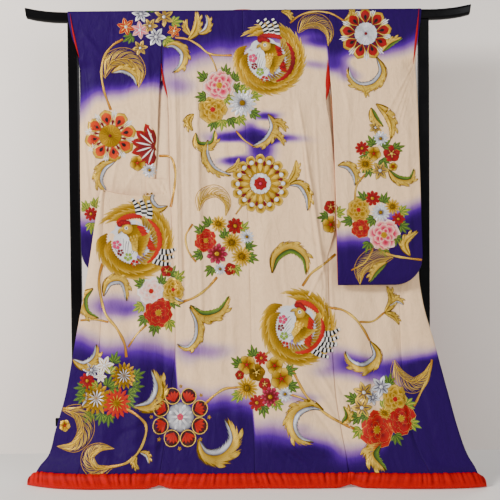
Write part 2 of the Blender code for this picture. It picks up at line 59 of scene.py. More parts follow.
# Cloth
CLOTH = 0.002
SEAM_DIP = 0.0012
SEAM_WIDE = 0.006
SEAM = 0.0006
ON_RAIL = 0.0014
LAPPED = 0.0022
CLOTH_HEM_Z = 0.0548
HEM_TUCK = 0.009
HEM_TUCK_FROM = 0.020
NECK_HALF = 0.086
NECK_X = -0.020
NECK_EDGE_Z = 1.708
NECK_CENTRE_Z = 1.675
COLLAR_WIDE = 0.055
COLLAR_THICK = 0.003
COLLAR_OVER = 0.0046
COLLAR_LAPPED = 0.0031
SHOULDER_Z = 1.700
SHOULDER_SEAM_Z = 1.655
CUFF_LOW_Z = 1.552
SLEEVE_CORNER = 0.105
SLEEVE_CLOSED = 0.0034
OVERLAP_POINT = 0.0122

# Padded hem. END_LONG and NOTCH_LONG are how far along the roll an end and a notch reach, NOTCH_TALL its
# height there as a share of the full one, and gathers are waves of the silk, in radians a metre.
ROLL_TALL = 0.0550
ROLL_HALF_DEEP = 0.0240
NOTCH_LEFT_X = -0.3300
NOTCH_RIGHT_X = 0.3500
NOTCH = 0.45
TIP = 0.06
TIP_POWER = 0.22
NOTCH_POWER = 0.6
END_LONG = 0.055
NOTCH_LONG = 0.05
NOTCH_TALL = 0.62
GATHER_STEP = 0.0032
FINE_GATHERS, WIDE_GATHERS = 148.0, 83.0
GATHER_POWER = 0.6
ROLL_ROUND = 0.027

# Padded hem, along its length: x, depth
HEM_LINE = [
    (-0.815, 0.186),
    (-0.760, 0.212),
    (-0.690, 0.236),
    (-0.560, 0.252),
    (-0.330, 0.250),
    (-0.150, 0.256),
    (0.010, 0.254),
    (0.180, 0.260),
    (0.350, 0.258),
    (0.500, 0.272),
    (0.630, 0.278),
    (0.760, 0.272),
    (0.832, 0.258),
]

# Back, from the hem up: z, depth, x of the left side seam, of the spine and of the right side seam
BACK = [
    (0.0558, 0.252, -0.327, 0.011, 0.342),
    (0.1100, 0.228, -0.319, 0.010, 0.336),
    (0.1960, 0.193, -0.307, 0.008, 0.322),
    (0.3320, 0.143, -0.293, 0.005, 0.306),
    (0.4810, 0.102, -0.279, 0.002, 0.300),
    (0.6570, 0.070, -0.281, 0.000, 0.292),
    (0.8100, 0.052, -0.288, -0.003, 0.291),
    (0.8600, 0.048, -0.290, -0.004, 0.305),
    (0.9200, 0.044, -0.292, -0.005, 0.320),
    (1.0900, 0.035, -0.297, -0.008, 0.323),
    (1.2180, 0.031, -0.299, -0.011, 0.315),
    (1.3100, 0.028, -0.300, -0.012, 0.305),
    (1.4170, 0.024, -0.304, -0.014, 0.290),
    (1.5480, 0.0190, -0.3255, -0.017, 0.3035),
    (1.7000, 0.0174, -0.3255, -0.019, 0.3035),
]

# Largest folds of the back: x and z of the upper end, x and z of the lower end, half width, rise to the front
BACK_FOLDS = [
    (-0.262, 1.42, -0.262, 0.60, 0.018, 0.007),
    (-0.195, 1.30, -0.215, 0.30, 0.022, 0.006),
    (-0.110, 1.10, -0.130, 0.12, 0.040, 0.007),
    (0.060, 0.95, 0.085, 0.10, 0.045, 0.008),
    (0.190, 1.38, 0.270, 0.62, 0.024, 0.009),
    (0.215, 0.60, 0.160, 0.12, 0.040, 0.010),
    (0.090, 1.55, 0.130, 1.00, 0.035, 0.004),
]

# Fronts, from the shoulder down: z at the side seam, then x, depth and z of the front seam
FRONT_LEFT = [
    (1.654, -0.106, -0.0174, 1.654),
    (1.550, -0.116, -0.0190, 1.552),
    (1.417, -0.148, -0.0180, 1.420),
    (1.250, -0.200, -0.0020, 1.260),
    (1.130, -0.250, 0.0160, 1.150),
    (1.070, -0.300, 0.0210, 1.090),
    (1.040, -0.335, 0.0320, 1.056),
    (1.015, -0.420, 0.0560, 1.048),
    (0.985, -0.490, 0.0620, 1.056),
    (0.950, -0.536, 0.0640, 1.066),
    (0.880, -0.545, 0.0680, 0.960),
    (0.760, -0.548, 0.0760, 0.800),
    (0.620, -0.552, 0.0880, 0.640),
    (0.460, -0.560, 0.1080, 0.470),
    (0.320, -0.572, 0.1380, 0.325),
    (0.190, -0.586, 0.1780, 0.192),
    (0.110, -0.602, 0.2120, 0.111),
    (0.0558, -0.618, 0.2440, 0.0558),
]
FRONT_RIGHT = [
    (1.654, 0.066, -0.0174, 1.654),
    (1.550, 0.078, -0.0190, 1.552),
    (1.417, 0.115, -0.0180, 1.420),
    (1.230, 0.180, -0.0020, 1.240),
    (1.050, 0.230, 0.0190, 1.080),
    (0.930, 0.288, 0.0210, 1.000),
    (0.880, 0.335, 0.0230, 0.965),
    (0.835, 0.400, 0.0240, 0.950),
    (0.805, 0.500, 0.0220, 1.000),
    (0.780, 0.6185, 0.0150, 1.0600),
    (0.740, 0.588, 0.0210, 0.900),
    (0.680, 0.572, 0.0340, 0.760),
    (0.590, 0.560, 0.0560, 0.640),
    (0.450, 0.556, 0.0960, 0.470),
    (0.320, 0.562, 0.1420, 0.325),
    (0.190, 0.576, 0.1980, 0.192),
    (0.110, 0.600, 0.2350, 0.111),
    (0.0558, 0.630, 0.2765, 0.0558),
]

# Overlap strips, from the point down: x, depth and z of the free edge, a row for each last row of the front
OVERLAP_LEFT = [
    (-0.548, 0.0650, 1.069),
    (-0.570, 0.0690, 0.976),
    (-0.600, 0.0760, 0.790),
    (-0.627, 0.0860, 0.640),
    (-0.655, 0.1060, 0.475),
    (-0.682, 0.1320, 0.316),
    (-0.715, 0.1600, 0.190),
    (-0.735, 0.1750, 0.110),
    (-0.780, 0.2030, 0.0558),
]
OVERLAP_RIGHT = [
    (0.631, 0.0148, 1.068),
    (0.631, 0.0200, 0.900),
    (0.634, 0.0350, 0.750),
    (0.646, 0.0560, 0.640),
    (0.684, 0.0950, 0.480),
    (0.716, 0.1500, 0.325),
    (0.744, 0.2050, 0.190),
    (0.768, 0.2360, 0.111),
    (0.800, 0.2660, 0.0558),
]

# How far each front swells out past its side seam and back from it, and the heights between which it does
SWELL_LEFT = (0.080, 0.012, 1.020, 1.545)
SWELL_RIGHT = (0.060, 0.034, 1.180, 1.520)

# Sleeves, from the rail down: z, depth of the front layer, depth of the back layer, x of the body side and
# of the outer side
SLEEVE_LEFT = [
    (1.720, 0.0174, -0.0174, -0.3262, -0.678),
    (1.640, 0.0185, -0.0180, -0.3262, -0.661),
    (1.580, 0.0190, -0.0180, -0.3262, -0.6385),
    (1.540, 0.0200, -0.0175, -0.3280, -0.6375),
    (1.406, 0.0220, -0.0140, -0.338, -0.637),
    (1.230, 0.0240, -0.0020, -0.346, -0.6380),
    (1.087, 0.0250, 0.0112, -0.357, -0.6380),
    (0.950, 0.0260, 0.0120, -0.366, -0.6380),
    (0.840, 0.0260, 0.0120, -0.368, -0.6380),
    (0.740, 0.0260, 0.0125, -0.370, -0.6380),
]
SLEEVE_RIGHT = [
    (1.720, 0.0174, -0.0174, 0.3042, 0.652),
    (1.640, 0.0185, -0.0180, 0.3042, 0.640),
    (1.556, 0.0200, -0.0175, 0.3042, 0.630),
    (1.400, 0.0300, 0.0100, 0.313, 0.6350),
    (1.230, 0.0450, 0.0270, 0.318, 0.6370),
    (1.060, 0.0600, 0.0460, 0.321, 0.6390),
    (0.930, 0.0700, 0.0570, 0.323, 0.6410),
    (0.820, 0.0790, 0.0660, 0.324, 0.6425),
    (0.708, 0.0900, 0.0780, 0.325, 0.6425),
]

# Camera: place before the stand's plane, lens in pixels of the photograph, downward pitch and roll
CAMERA_BEFORE = 3.5
CAMERA_Z = 0.93
LENS_PIXELS = 921.0
PHOTO_SIZE = 500
PITCH = math.radians(1.49)
ROLL = 0.0087

# Where creases and folds fade in and out again, as shares of their length
CREASE_STARTS, CREASE_STOPS = (-0.22, 0.18), (1.22, 0.82)
FOLD_STARTS, FOLD_STOPS = (-0.15, 0.2), (1.15, 0.8)

# Heights over which the back comes free of the hem and of the rail, for its folds and for its creases, and
# the height from which it leans out to the hem, in metres
FOLDS_ABOVE, FOLDS_BELOW = (CLOTH_HEM_Z, 0.16), (1.62, 1.45)
CREASES_ABOVE, CREASES_BELOW = (CLOTH_HEM_Z, 0.12), (1.70, 1.60)
LEANS_FROM = 0.45

# The small fold at the left front's pinch, about the stand's plane, in metres
SMALL_FOLD_X = (-0.388, -0.288)
SMALL_FOLD_LOW, SMALL_FOLD_TALL = 1.030, 0.080
SMALL_FOLD_BEFORE = 0.0298
SMALL_FOLD_LIFT = 0.0022

# Finding the cloth seen at a pixel: the depth it starts from, and how often that is mended
FIRST_DEPTH = 0.05
DEPTH_ROUNDS = 5


# Curves and places


def smooth_step(low, high, value):
    t = np.clip((np.asarray(value, float) - low) / (high - low), 0.0, 1.0)
    return t * t * (3.0 - 2.0 * t)


def window(places, rising, falling):
    """1 between two places, falling smoothly to 0 outside them."""
    return smooth_step(*rising, places) * smooth_step(*falling, places)


def lengths_along(points):
    """The way from the first of a run of points to each of them."""
    return np.concatenate([[0.0], np.cumsum(np.linalg.norm(np.diff(points, axis=0), axis=1))])


def cubic(rows, slopes, k, gap, t):
    """The curve from row k to the one after it, across a gap, t of the way."""
    return (
        rows[k] * (2 * t**3 - 3 * t**2 + 1)
        + slopes[k] * gap * (t**3 - 2 * t**2 + t)
        + rows[k + 1] * (3 * t**2 - 2 * t**3)
        + slopes[k + 1] * gap * (t**3 - t**2)
    )


def curve_at(along, rows, places):
    """A cubic through the rows whose slopes are limited, so that it never runs past its neighbours."""
    gaps = np.diff(along)
    slopes = np.diff(rows, axis=0) / gaps[:, None]
    before, after = slopes[:-1], slopes[1:]
    total = np.where(np.abs(before + after) < 1e-12, 1.0, before + after)
    inner = np.where(before * after > 0.0, 2.0 * before * after / total, 0.0)
    tangents = np.concatenate([slopes[:1], inner, slopes[-1:]])
    places = np.clip(np.asarray(places, float), along[0], along[-1])
    k = np.clip(np.searchsorted(along, places, side="right") - 1, 0, len(along) - 2)
    gap = gaps[k][..., None]
    return cubic(rows, tangents, k, gap, (places - along[k])[..., None] / gap)


def resample(table, count):
    """Reads a table of rows at evenly spaced places on the smooth curve through them."""
    rows = np.array(table, float)
    along = lengths_along(rows)
    return curve_at(along, rows, np.linspace(0.0, along[-1], count))


def column(table, key, values, wanted):
    """The wanted column of a table, read smoothly at values of its key column."""
    rows = np.array(table, float)
    rows = rows[np.argsort(rows[:, key])]
    return curve_at(rows[:, key], rows, values)[..., wanted]


def seen_at(points):
    """The photograph's pixels of points about the stand's plane, as an array of x and y."""
    points = np.asarray(points, float)
    away, height = points[..., 1] + CAMERA_BEFORE, points[..., 2] - CAMERA_Z
    forward = away * math.cos(PITCH) - height * math.sin(PITCH)
    up = away * math.sin(PITCH) + height * math.cos(PITCH)
    across = LENS_PIXELS * points[..., 0] / forward
    middle = PHOTO_SIZE / 2
    return np.stack([middle + across, middle - LENS_PIXELS * up / forward - across * ROLL], axis=-1)


def spots(pixels):
    """x and z of the cloth that the photograph shows at its pixels."""
    pixels = np.asarray(pixels, float)
    across = (pixels[..., 0] - PHOTO_SIZE / 2) / LENS_PIXELS
    down = (pixels[..., 1] - PHOTO_SIZE / 2) / LENS_PIXELS + across * ROLL
    depth = np.full(across.shape, FIRST_DEPTH)
    for _ in range(DEPTH_ROUNDS):
        reach = (CAMERA_BEFORE - depth) / (math.cos(PITCH) - down * math.sin(PITCH))
        z = CAMERA_Z - reach * (math.sin(PITCH) + down * math.cos(PITCH))
        depth = column(BACK, 0, z, 1)
    return np.stack([across * reach, z], axis=-1)


def over_rail(run, gap):
    """Depth and height of cloth lying on the rail, a distance past the middle of its top, to the back."""
    side = -1.0 if run < 0 else 1.0
    flat = RAIL_DEEP / 2 - RAIL_CORNER
    radius = RAIL_CORNER + gap
    turn = radius * math.pi / 2
    far = abs(run)
    if far <= flat:
        return run, RAIL_TOP + gap
    if far <= flat + turn:
        angle = (far - flat) / radius
        return side * (flat + radius * math.sin(angle)), RAIL_TOP - RAIL_CORNER + radius * math.cos(angle)
    return side * (flat + radius), RAIL_TOP - RAIL_CORNER - (far - flat - turn)


def rail_runs(gap):
    """Places along cloth that lies on the rail: both rounded edges of the rail's top, front edge first."""
    flat = RAIL_DEEP / 2 - RAIL_CORNER
    turn = (RAIL_CORNER + gap) * math.pi / 2
    front = [-(flat + turn * (1 - k / RAIL_EDGE_STEPS)) for k in range(RAIL_EDGE_STEPS + 1)]
    return front + [-run for run in reversed(front)]


# Creases

CREASE_WIDER = 1.45
CREASE_DEEPER = 2.4
SLEEVE_CREASE_DEEPER = 3.4

# Creases as seen: x and y of the upper end, x and y of the lower end, half width and rise in millimetres.
# A negative rise is a trough.
CREASES = [
    (176, 92, 178, 300, 3.5, 3.0),
    (181, 100, 184, 290, 4.0, -1.8),
    (190, 120, 188, 300, 6.0, 1.6),
    (198, 95, 201, 330, 6.0, 2.2),
    (208, 150, 212, 340, 7.0, -1.4),
    (300, 106, 309, 172, 3.0, 2.6),
    (309, 172, 325, 279, 3.5, 3.2),
    (303, 130, 317, 262, 3.0, -1.6),
    (316, 120, 322, 240, 4.0, 1.4),
    (325, 260, 300, 225, 4.0, 1.6),
    (326, 262, 306, 300, 4.0, 1.8),
    (327, 264, 322, 340, 4.5, 2.4),
    (330, 266, 334, 350, 4.0, 2.0),
    (207, 413, 250, 407, 2.5, -1.6),
    (200, 409, 248, 403, 3.5, 1.2),
    (256, 408, 300, 404, 3.0, 1.2),
    (318, 372, 352, 432, 4.5, 2.6),
    (328, 370, 362, 428, 4.0, -2.2),
    (312, 385, 345, 440, 5.0, 2.2),
    (305, 398, 335, 440, 5.0, -1.8),
    (284, 443, 312, 466, 5.0, 3.4),
    (281, 449, 306, 470, 4.5, -3.2),
    (296, 447, 330, 456, 5.0, 1.8),
    (262, 440, 284, 470, 7.0, 2.0),
    (330, 440, 350, 468, 5.0, 1.6),
    (338, 452, 352, 462, 3.0, -2.0),
    (128, 452, 170, 440, 9.0, 2.6),
    (118, 436, 150, 420, 7.0, -2.0),
    (88, 440, 130, 466, 8.0, 1.6),
    (110, 300, 96, 460, 12.0, 2.0),
    (140, 340, 132, 470, 12.0, 1.8),
    (156, 360, 152, 470, 7.0, 2.4),
    (163, 350, 160, 466, 6.0, -2.0),
    (352, 300, 372, 470, 14.0, 2.0),
    (388, 300, 412, 470, 12.0, 1.8),
    (402, 290, 436, 470, 10.0, -1.6),
    (232, 300, 236, 470, 10.0, 1.6),
    (262, 230, 266, 420, 12.0, 1.2),
    (282, 240, 286, 300, 5.0, 0.9),
    (228, 60, 226, 240, 9.0, 1.0),
    (262, 100, 268, 250, 9.0, 0.9),
    (290, 60, 292, 130, 6.0, 0.9),
    (108, 197, 155, 195, 2.5, 1.4),
    (112, 201, 158, 200, 2.5, -1.0),
    (120, 206, 162, 212, 4.0, 1.2),
    (168, 232, 166, 330, 5.0, 1.2),
    (340, 291, 400, 291, 9.0, -3.0),
    (346, 300, 398, 306, 7.0, 1.4),
    (356, 320, 420, 318, 5.0, 0.8),
    (350, 335, 425, 330, 4.0, 0.7),
]

# Creases of the sleeves, as seen, in the same columns: the lines where it was folded away, and the drag
# from the cuffs
SLEEVE_CREASES = [
    (95, 92, 160, 88, 1.6, 0.9),
    (96, 103, 158, 108, 1.4, 0.5),
    (108, 104, 158, 120, 1.6, 0.8),
    (120, 100, 156, 132, 1.6, 0.6),
    (86, 62, 96, 180, 4.0, 1.2),
    (84, 120, 88, 188, 3.5, 1.0),
    (98, 112, 92, 175, 4.0, -0.8),
    (150, 60, 154, 190, 5.0, 0.8),
    (74, 18, 104, 60, 8.0, 1.2),
    (80, 14, 130, 44, 9.0, 1.0),
    (120, 150, 112, 186, 5.0, 0.8),
    (138, 168, 120, 198, 5.0, 0.7),
    (416, 62, 385, 118, 1.5, 1.1),
    (416, 66, 392, 122, 1.5, 1.0),
    (415, 72, 398, 124, 1.6, 0.9),
    (414, 80, 402, 126, 1.6, 0.8),
    (412, 100, 366, 104, 1.4, 0.8),
    (412, 112, 384, 118, 1.4, 0.8),
    (414, 124, 390, 112, 1.3, 0.7),
    (378, 165, 415, 156, 1.5, 0.7),
    (350, 180, 412, 173, 1.3, 0.4),
    (336, 184, 340, 280, 4.0, 0.8),
    (350, 60, 346, 270, 9.0, 0.7),
    (408, 130, 410, 262, 6.0, 0.9),
    (372, 110, 376, 200, 10.0, 0.6),
    (340, 60, 352, 120, 4.0, 0.7),
    (332, 120, 345, 160, 2.0, 0.7),
]


def crease_table(rows, deeper=CREASE_DEEPER):
    """Creases with their ends carried onto the cloth: x and z of both ends, half width, rise."""
    rows = np.array(rows, float)
    upper, lower = spots(rows[:, 0:2]), spots(rows[:, 2:4])
    return np.concatenate([upper, lower, rows[:, 4:6] * np.array([CREASE_WIDER, deeper]) / 1000.0], axis=1)


def crease_depth(table, x, z):
    """How far forward the creases lift the cloth at places."""
    lift = np.zeros(np.broadcast(x, z).shape)
    for x0, z0, x1, z1, wide, rise in table:
        length = math.hypot(x1 - x0, z1 - z0)
        along = ((x - x0) * (x1 - x0) + (z - z0) * (z1 - z0)) / length**2
        off = ((x - x0) * (z1 - z0) - (z - z0) * (x1 - x0)) / length
        off = off + 0.25 * wide * np.sin(along * 5.0 + rise * 900.0)
        ends = window(along, CREASE_STARTS, CREASE_STOPS)
        lift += rise * ends * np.exp(-((off / wide) ** 2))
    return lift


def slack(x, z):
    """The small uneven rise and fall that no crease accounts for."""
    return (
        np.sin(x * 61 + 1.3 * np.sin(z * 17)) * np.sin(z * 23 + 2.1 * np.sin(x * 13 + 1.0))
        + 0.6 * np.sin(x * 113 + z * 31 + 0.5)
        + 0.4 * np.sin(z * 97 - x * 41)
    )


BODY_CREASES = crease_table(CREASES)
SLEEVE_CREASE_LINES = crease_table(SLEEVE_CREASES, SLEEVE_CREASE_DEEPER)


# Dye

# Edge of the violet that comes down from the shoulders, as seen: x, y of the middle of the fade, half fade
TOP_DYE = [
    (60, 112, 16),
    (84, 104, 14),
    (100, 92, 8),
    (150, 88, 8),
    (163, 86, 9),
    (166, 66, 18),
    (200, 56, 13),
    (222, 48, 12),
    (236, 46, 11),
    (262, 42, 8),
    (300, 40, 9),
    (328, 44, 8),
    (331, 62, 10),
    (345, 54, 8),
    (372, 50, 7),
    (400, 48, 8),
    (425, 44, 11),
]

# Edge of the violet that comes up from the hem, in the same columns
BOTTOM_DYE = [
    (20, 350, 14),
    (78, 337, 12),
    (90, 343, 12),
    (120, 350, 13),
    (150, 350, 14),
    (168, 356, 14),
    (174, 362, 14),
    (177, 398, 13),
    (215, 398, 12),
    (250, 402, 12),
    (254, 430, 13),
    (285, 437, 14),
    (320, 448, 13),
    (350, 452, 12),
    (376, 444, 12),
    (392, 420, 13),
    (401, 386, 12),
    (412, 372, 10),
    (450, 358, 12),
    (500, 350, 12),
]

# Edges of the violet at the foot of each sleeve
LEFT_SLEEVE_DYE = [(60, 217, 10), (100, 222, 10), (165, 232, 12)]
RIGHT_SLEEVE_DYE = [(325, 240, 9), (350, 236, 9), (372, 238, 9), (392, 214, 9), (430, 206, 9)]

# Clouds, as seen: x and y of the middle, half width, half height, strength. Negative ones are left undyed.
CLOUDS = [
    (180, 86, 16, 9, 0.36),
    (233, 136, 24, 6, 0.85),
    (262, 148, 13, 16, 0.80),
    (236, 160, 16, 5, 0.78),
    (276, 140, 26, 4, 0.75),
    (268, 116, 12, 4, 0.80),
    (256, 128, 14, 7, 0.62),
    (229, 148, 13, 6, -0.9),
    (264, 125, 9, 5, -0.5),
    (318, 44, 14, 5, 0.40),
    (316, 66, 13, 4, 0.34),
    (344, 66, 14, 8, 0.48),
    (352, 76, 10, 5, 0.30),
    (362, 62, 12, 6, -0.5),
    (114, 306, 27, 11, 0.52),
    (134, 312, 14, 7, 0.25),
    (204, 350, 26, 8, 0.34),
    (186, 356, 12, 10, 0.18),
    (300, 399, 17, 5, 0.34),
    (276, 402, 12, 6, 0.22),
    (352, 362, 26, 9, 0.62),
    (392, 372, 40, 12, 0.66),
    (420, 366, 26, 14, 0.50),
    (436, 392, 22, 26, 0.50),
    (330, 352, 20, 7, 0.22),
    (330, 372, 18, 6, 0.25),
    (312, 452, 22, 8, 0.30),
    (300, 428, 10, 5, 0.12),
    (366, 408, 24, 22, -0.45),
]


def dye_amount(points, piece):
    """How much violet each point takes, from 0 to 1, by where the photograph shows it."""
    seen = seen_at(points)
    x, y = seen[..., 0], seen[..., 1]
    wander = 2.6 * np.sin(x * 0.045 + 0.8) + 1.6 * np.sin(x * 0.12 + y * 0.03) + 0.5 * np.sin(x * 0.29)

    def below(table):
        edge, fade = column(table, 0, x, 1), column(table, 0, x, 2)
        return smooth_step(-1.0, 1.0, (y + wander - edge) / (fade * 1.6))

    amount = 1.0 - below(TOP_DYE)
    if piece == "sleeve_left":
        amount = np.maximum(amount, below(LEFT_SLEEVE_DYE))
    elif piece == "sleeve_right":
        amount = np.maximum(amount, below(RIGHT_SLEEVE_DYE))
    else:
        amount = np.maximum(amount, below(BOTTOM_DYE))
    for cx, cy, wide, tall, strength in CLOUDS:
        far = ((x - cx) / wide) ** 2 + ((y + 0.5 * wander - cy) / tall) ** 2
        if piece.startswith("sleeve") and cy > 100:
            continue
        amount = amount + strength * np.exp(-(far**1.3))
    return np.clip(amount, 0.0, 1.0)


# Meshes


def put_in_scene(name, data):
    made = bpy.data.objects.new(name, data)
    bpy.context.scene.collection.objects.link(made)
    return made


def new_piece(name, points, faces, materials, slots=None, uv=None, values=None, closed=True):
    """Makes one piece from points about the stand's plane. values are point attributes by name."""
    points = np.array(points, float).reshape(-1, 3)
    mesh = bpy.data.meshes.new(name)
    mesh.from_pydata([(x, y + STAND_Y, z) for x, y, z in points], [], [tuple(face) for face in faces])
    for made in materials:
        mesh.materials.append(made)
    if slots is not None:
        mesh.polygons.foreach_set("material_index", np.array(slots, dtype=np.int32))
    if uv is not None:
        corners = np.empty(len(mesh.loops), dtype=np.int32)
        mesh.loops.foreach_get("vertex_index", corners)
        layer = mesh.uv_layers.new(name="cloth_lay")
        layer.data.foreach_set("uv", np.array(uv, float).reshape(-1, 2)[corners].ravel())
    for key, numbers in (values or {}).items():
        numbers = np.array(numbers, float)
        kind = "FLOAT" if numbers.ndim == 1 else "FLOAT_COLOR"
        layer = mesh.attributes.new(key, kind, "POINT")
        layer.data.foreach_set("value" if kind == "FLOAT" else "color", numbers.ravel())
    if closed:
        shape = bmesh.new()
        shape.from_mesh(mesh)
        bmesh.ops.recalc_face_normals(shape, faces=shape.faces)
        shape.to_mesh(mesh)
        shape.free()
    mesh.shade_smooth()
    return put_in_scene(name, mesh)


def grid_lengths(grid, axis):
    """Length along the middle line of each row or column of a grid, in metres."""
    steps = np.linalg.norm(np.diff(grid, axis=axis), axis=2)
    start = np.zeros_like(np.take(steps, [0], axis=axis))
    return np.concatenate([start, np.cumsum(steps, axis=axis)], axis=axis)


def lined_wall(name, grid, outside, thick=CLOTH, all_lining=False):
    """A closed wall of silk with its lining. outside is 1 or -1, the side of the grid that is worn outwards.
    Slot 0 is the silk, slot 1 the lining, which also turns over the edges.
    """
    rows, columns = grid.shape[:2]
    normal = np.cross(np.gradient(grid, axis=0), np.gradient(grid, axis=1))
    normal *= outside / np.linalg.norm(normal, axis=2)[..., None]
    points = np.concatenate([grid + normal * thick / 2, grid - normal * thick / 2]).reshape(-1, 3)
    index = np.arange(rows * columns).reshape(rows, columns)
    quads = np.stack([index[:-1, :-1], index[:-1, 1:], index[1:, 1:], index[1:, :-1]], axis=-1).reshape(-1, 4)
    inner = quads[:, ::-1] + rows * columns
    rim = np.concatenate([index[0, :], index[1:, -1], index[-1, -2::-1], index[-2:0:-1, 0]])
    after = np.roll(rim, -1)
    edge = np.stack([after, rim, rim + rows * columns, after + rows * columns], axis=-1)
    faces = np.concatenate([quads, inner, edge])
    slots = np.concatenate([np.full(len(quads), float(all_lining)), np.ones(len(inner) + len(edge))])
    lay = np.stack([grid_lengths(grid, 1), grid_lengths(grid, 0)], axis=-1).reshape(-1, 2)
    dye = dye_amount(grid, "body").ravel()
    return new_piece(
        name, points, faces.tolist(), [SILK, LINING], slots, np.concatenate([lay, lay]),
        {"dye": np.tile(dye, 2)}
    )


# Cloth


def hem_depth(x):
    return column(HEM_LINE, 0, x, 1)


def back_depth(x, z):
    """Depth of the back's cloth in front of the stand's plane, creases and all."""
    x, z = np.broadcast_arrays(np.asarray(x, float), np.asarray(z, float))
    base = column(BACK, 0, z, 1)
    base = base + smooth_step(LEANS_FROM, CLOTH_HEM_Z, z) * (hem_depth(x) - BACK[0][1])
    free = window(z, FOLDS_ABOVE, FOLDS_BELOW)
    side = np.minimum(np.abs(x - column(BACK, 0, z, 2)), np.abs(x - column(BACK, 0, z, 4)))
    free = free * smooth_step(0.0, 0.03, side)
    for top_x, top_z, low_x, low_z, wide, rise in BACK_FOLDS:
        down = (top_z - z) / (top_z - low_z)
        middle = top_x + (low_x - top_x) * down
        ends = window(down, FOLD_STARTS, FOLD_STOPS)
        base = base + rise * free * ends * np.exp(-(((x - middle) / wide) ** 2))
    loose = window(z, CREASES_ABOVE, CREASES_BELOW) * smooth_step(0.0, 0.02, side)
    return base + loose * (0.0012 + crease_depth(BODY_CREASES, x, z) + 0.0007 * slack(x, z))


def side_seam(side, z):
    """Where the back's side edge lies: x and depth."""
    x = column(BACK, 0, z, 2 if side < 0 else 4)
    return x, back_depth(x, z)


def back_panel(name, side, across=90, down=264):
    """From the hem up the front of the rail, over it, and a little way down behind it."""
    low_column, high_column = (2, 3) if side < 0 else (3, 4)
    heights = np.linspace(CLOTH_HEM_Z - HEM_TUCK, SHOULDER_Z, down)
    low = column(BACK, 0, heights, low_column)[:, None]
    high = column(BACK, 0, heights, high_column)[:, None]
    shares = np.linspace(0.0, 1.0, across)[None, :]
    x = low + (high - low) * shares
    spine = np.abs(x - (high if side < 0 else low))
    depth = back_depth(x, heights[:, None]) - SEAM_DIP * np.exp(-((spine / SEAM_WIDE) ** 2))
    front = np.stack([x, -depth, np.broadcast_to(heights[:, None], x.shape)], axis=-1)
    rows = [front]
    for run in rail_runs(ON_RAIL):
        y, z = over_rail(run, ON_RAIL)
        rows.append(np.stack([x[-1], np.full(across, y), np.full(across, z)], axis=-1)[None])
    open_neck = smooth_step(NECK_HALF, NECK_HALF - 0.03, np.abs(x[-1] - NECK_X))
    end = SHOULDER_SEAM_Z + (NECK_EDGE_Z - SHOULDER_SEAM_Z) * open_neck
    start = over_rail(rail_runs(ON_RAIL)[-1], ON_RAIL)[1]
    for share in (0.34, 0.67, 1.0):
        z = start + (end - start) * share
        rows.append(np.stack([x[-1], np.full(across, RAIL_DEEP / 2 + ON_RAIL), z], axis=-1)[None])
    return lined_wall(name, np.concatenate(rows), -1)


def front_rows(side, count):
    """Rows of a front with its overlap, from the shoulder down: the points on its side seam, on the seam
    between the two, and on the overlap's free edge. Above the overlap's point the last two are the same.
    """
    fronts = FRONT_LEFT if side < 0 else FRONT_RIGHT
    edges = OVERLAP_LEFT if side < 0 else OVERLAP_RIGHT
    plain = len(fronts) - len(edges)
    table = [front + (front[1:] if k < plain else edges[k - plain]) for k, front in enumerate(fronts)]
    rows = resample(table, count)
    side_z = rows[:, 0]
    x, deep = side_seam(side, side_z)
    hung_behind = smooth_step(1.430, 1.560, side_z)
    deep = (1 - hung_behind) * (deep - LAPPED) + hung_behind * -(RAIL_DEEP / 2 + ON_RAIL)
    seam = np.stack([x, -deep, side_z], axis=-1)
    front = np.stack([rows[:, 1], -rows[:, 2], rows[:, 3]], axis=-1)
    edge = np.stack([rows[:, 4], -rows[:, 5], rows[:, 6]], axis=-1)
    for line in (seam, front, edge):
        line[:, 2] -= HEM_TUCK * smooth_step(CLOTH_HEM_Z + HEM_TUCK_FROM, CLOTH_HEM_Z, line[:, 2])
    return seam, front, edge


def lift_forward(grid, amount):
    """Creases a grid by moving its points forward, where amount lets it."""
    lift = crease_depth(BODY_CREASES, grid[..., 0], grid[..., 2]) + 0.0008 * slack(grid[..., 0], grid[..., 2])
    grid[..., 1] -= lift * amount
    return grid


def front_panel(name, side, across=80, down=240):
    """From behind the rail down to the hem, drawn in at the pinch and fanned out below it."""
    out, back, low_z, high_z = SWELL_LEFT if side < 0 else SWELL_RIGHT
    seam, front, _ = front_rows(side, down)
    u = np.linspace(0.0, 1.0, across)[None, :]
    grid = seam[:, None, :] + (front - seam)[:, None, :] * u[..., None]
    middle_z = ((seam[:, 2] + front[:, 2]) / 2)[:, None]
    free = window(middle_z, (CLOTH_HEM_Z, 0.2), (0.8, 0.45))
    bow = 0.012 * np.sin(np.pi * u)
    wave = 0.006 * np.sin(np.pi * u) ** 2 * np.cos(5 * np.pi * u)
    grid[..., 1] -= (bow + wave) * free
    seam_z = seam[:, 2][:, None]
    swollen = window(seam_z, (low_z, low_z + 0.10), (high_z, high_z - 0.12))
    grid[..., 0] += side * out * swollen * np.sin(np.pi * u**0.6)
    grid[..., 1] += back * swollen * np.sin(np.pi * u**0.5)
    fanned = smooth_step(1.02, 0.90, middle_z) * smooth_step(CLOTH_HEM_Z, 0.10, grid[..., 2])
    edges = window(u, (0.0, 0.08), (1.0, 0.95))
    return lined_wall(name, lift_forward(grid, fanned * edges), -1 if side < 0 else 1)


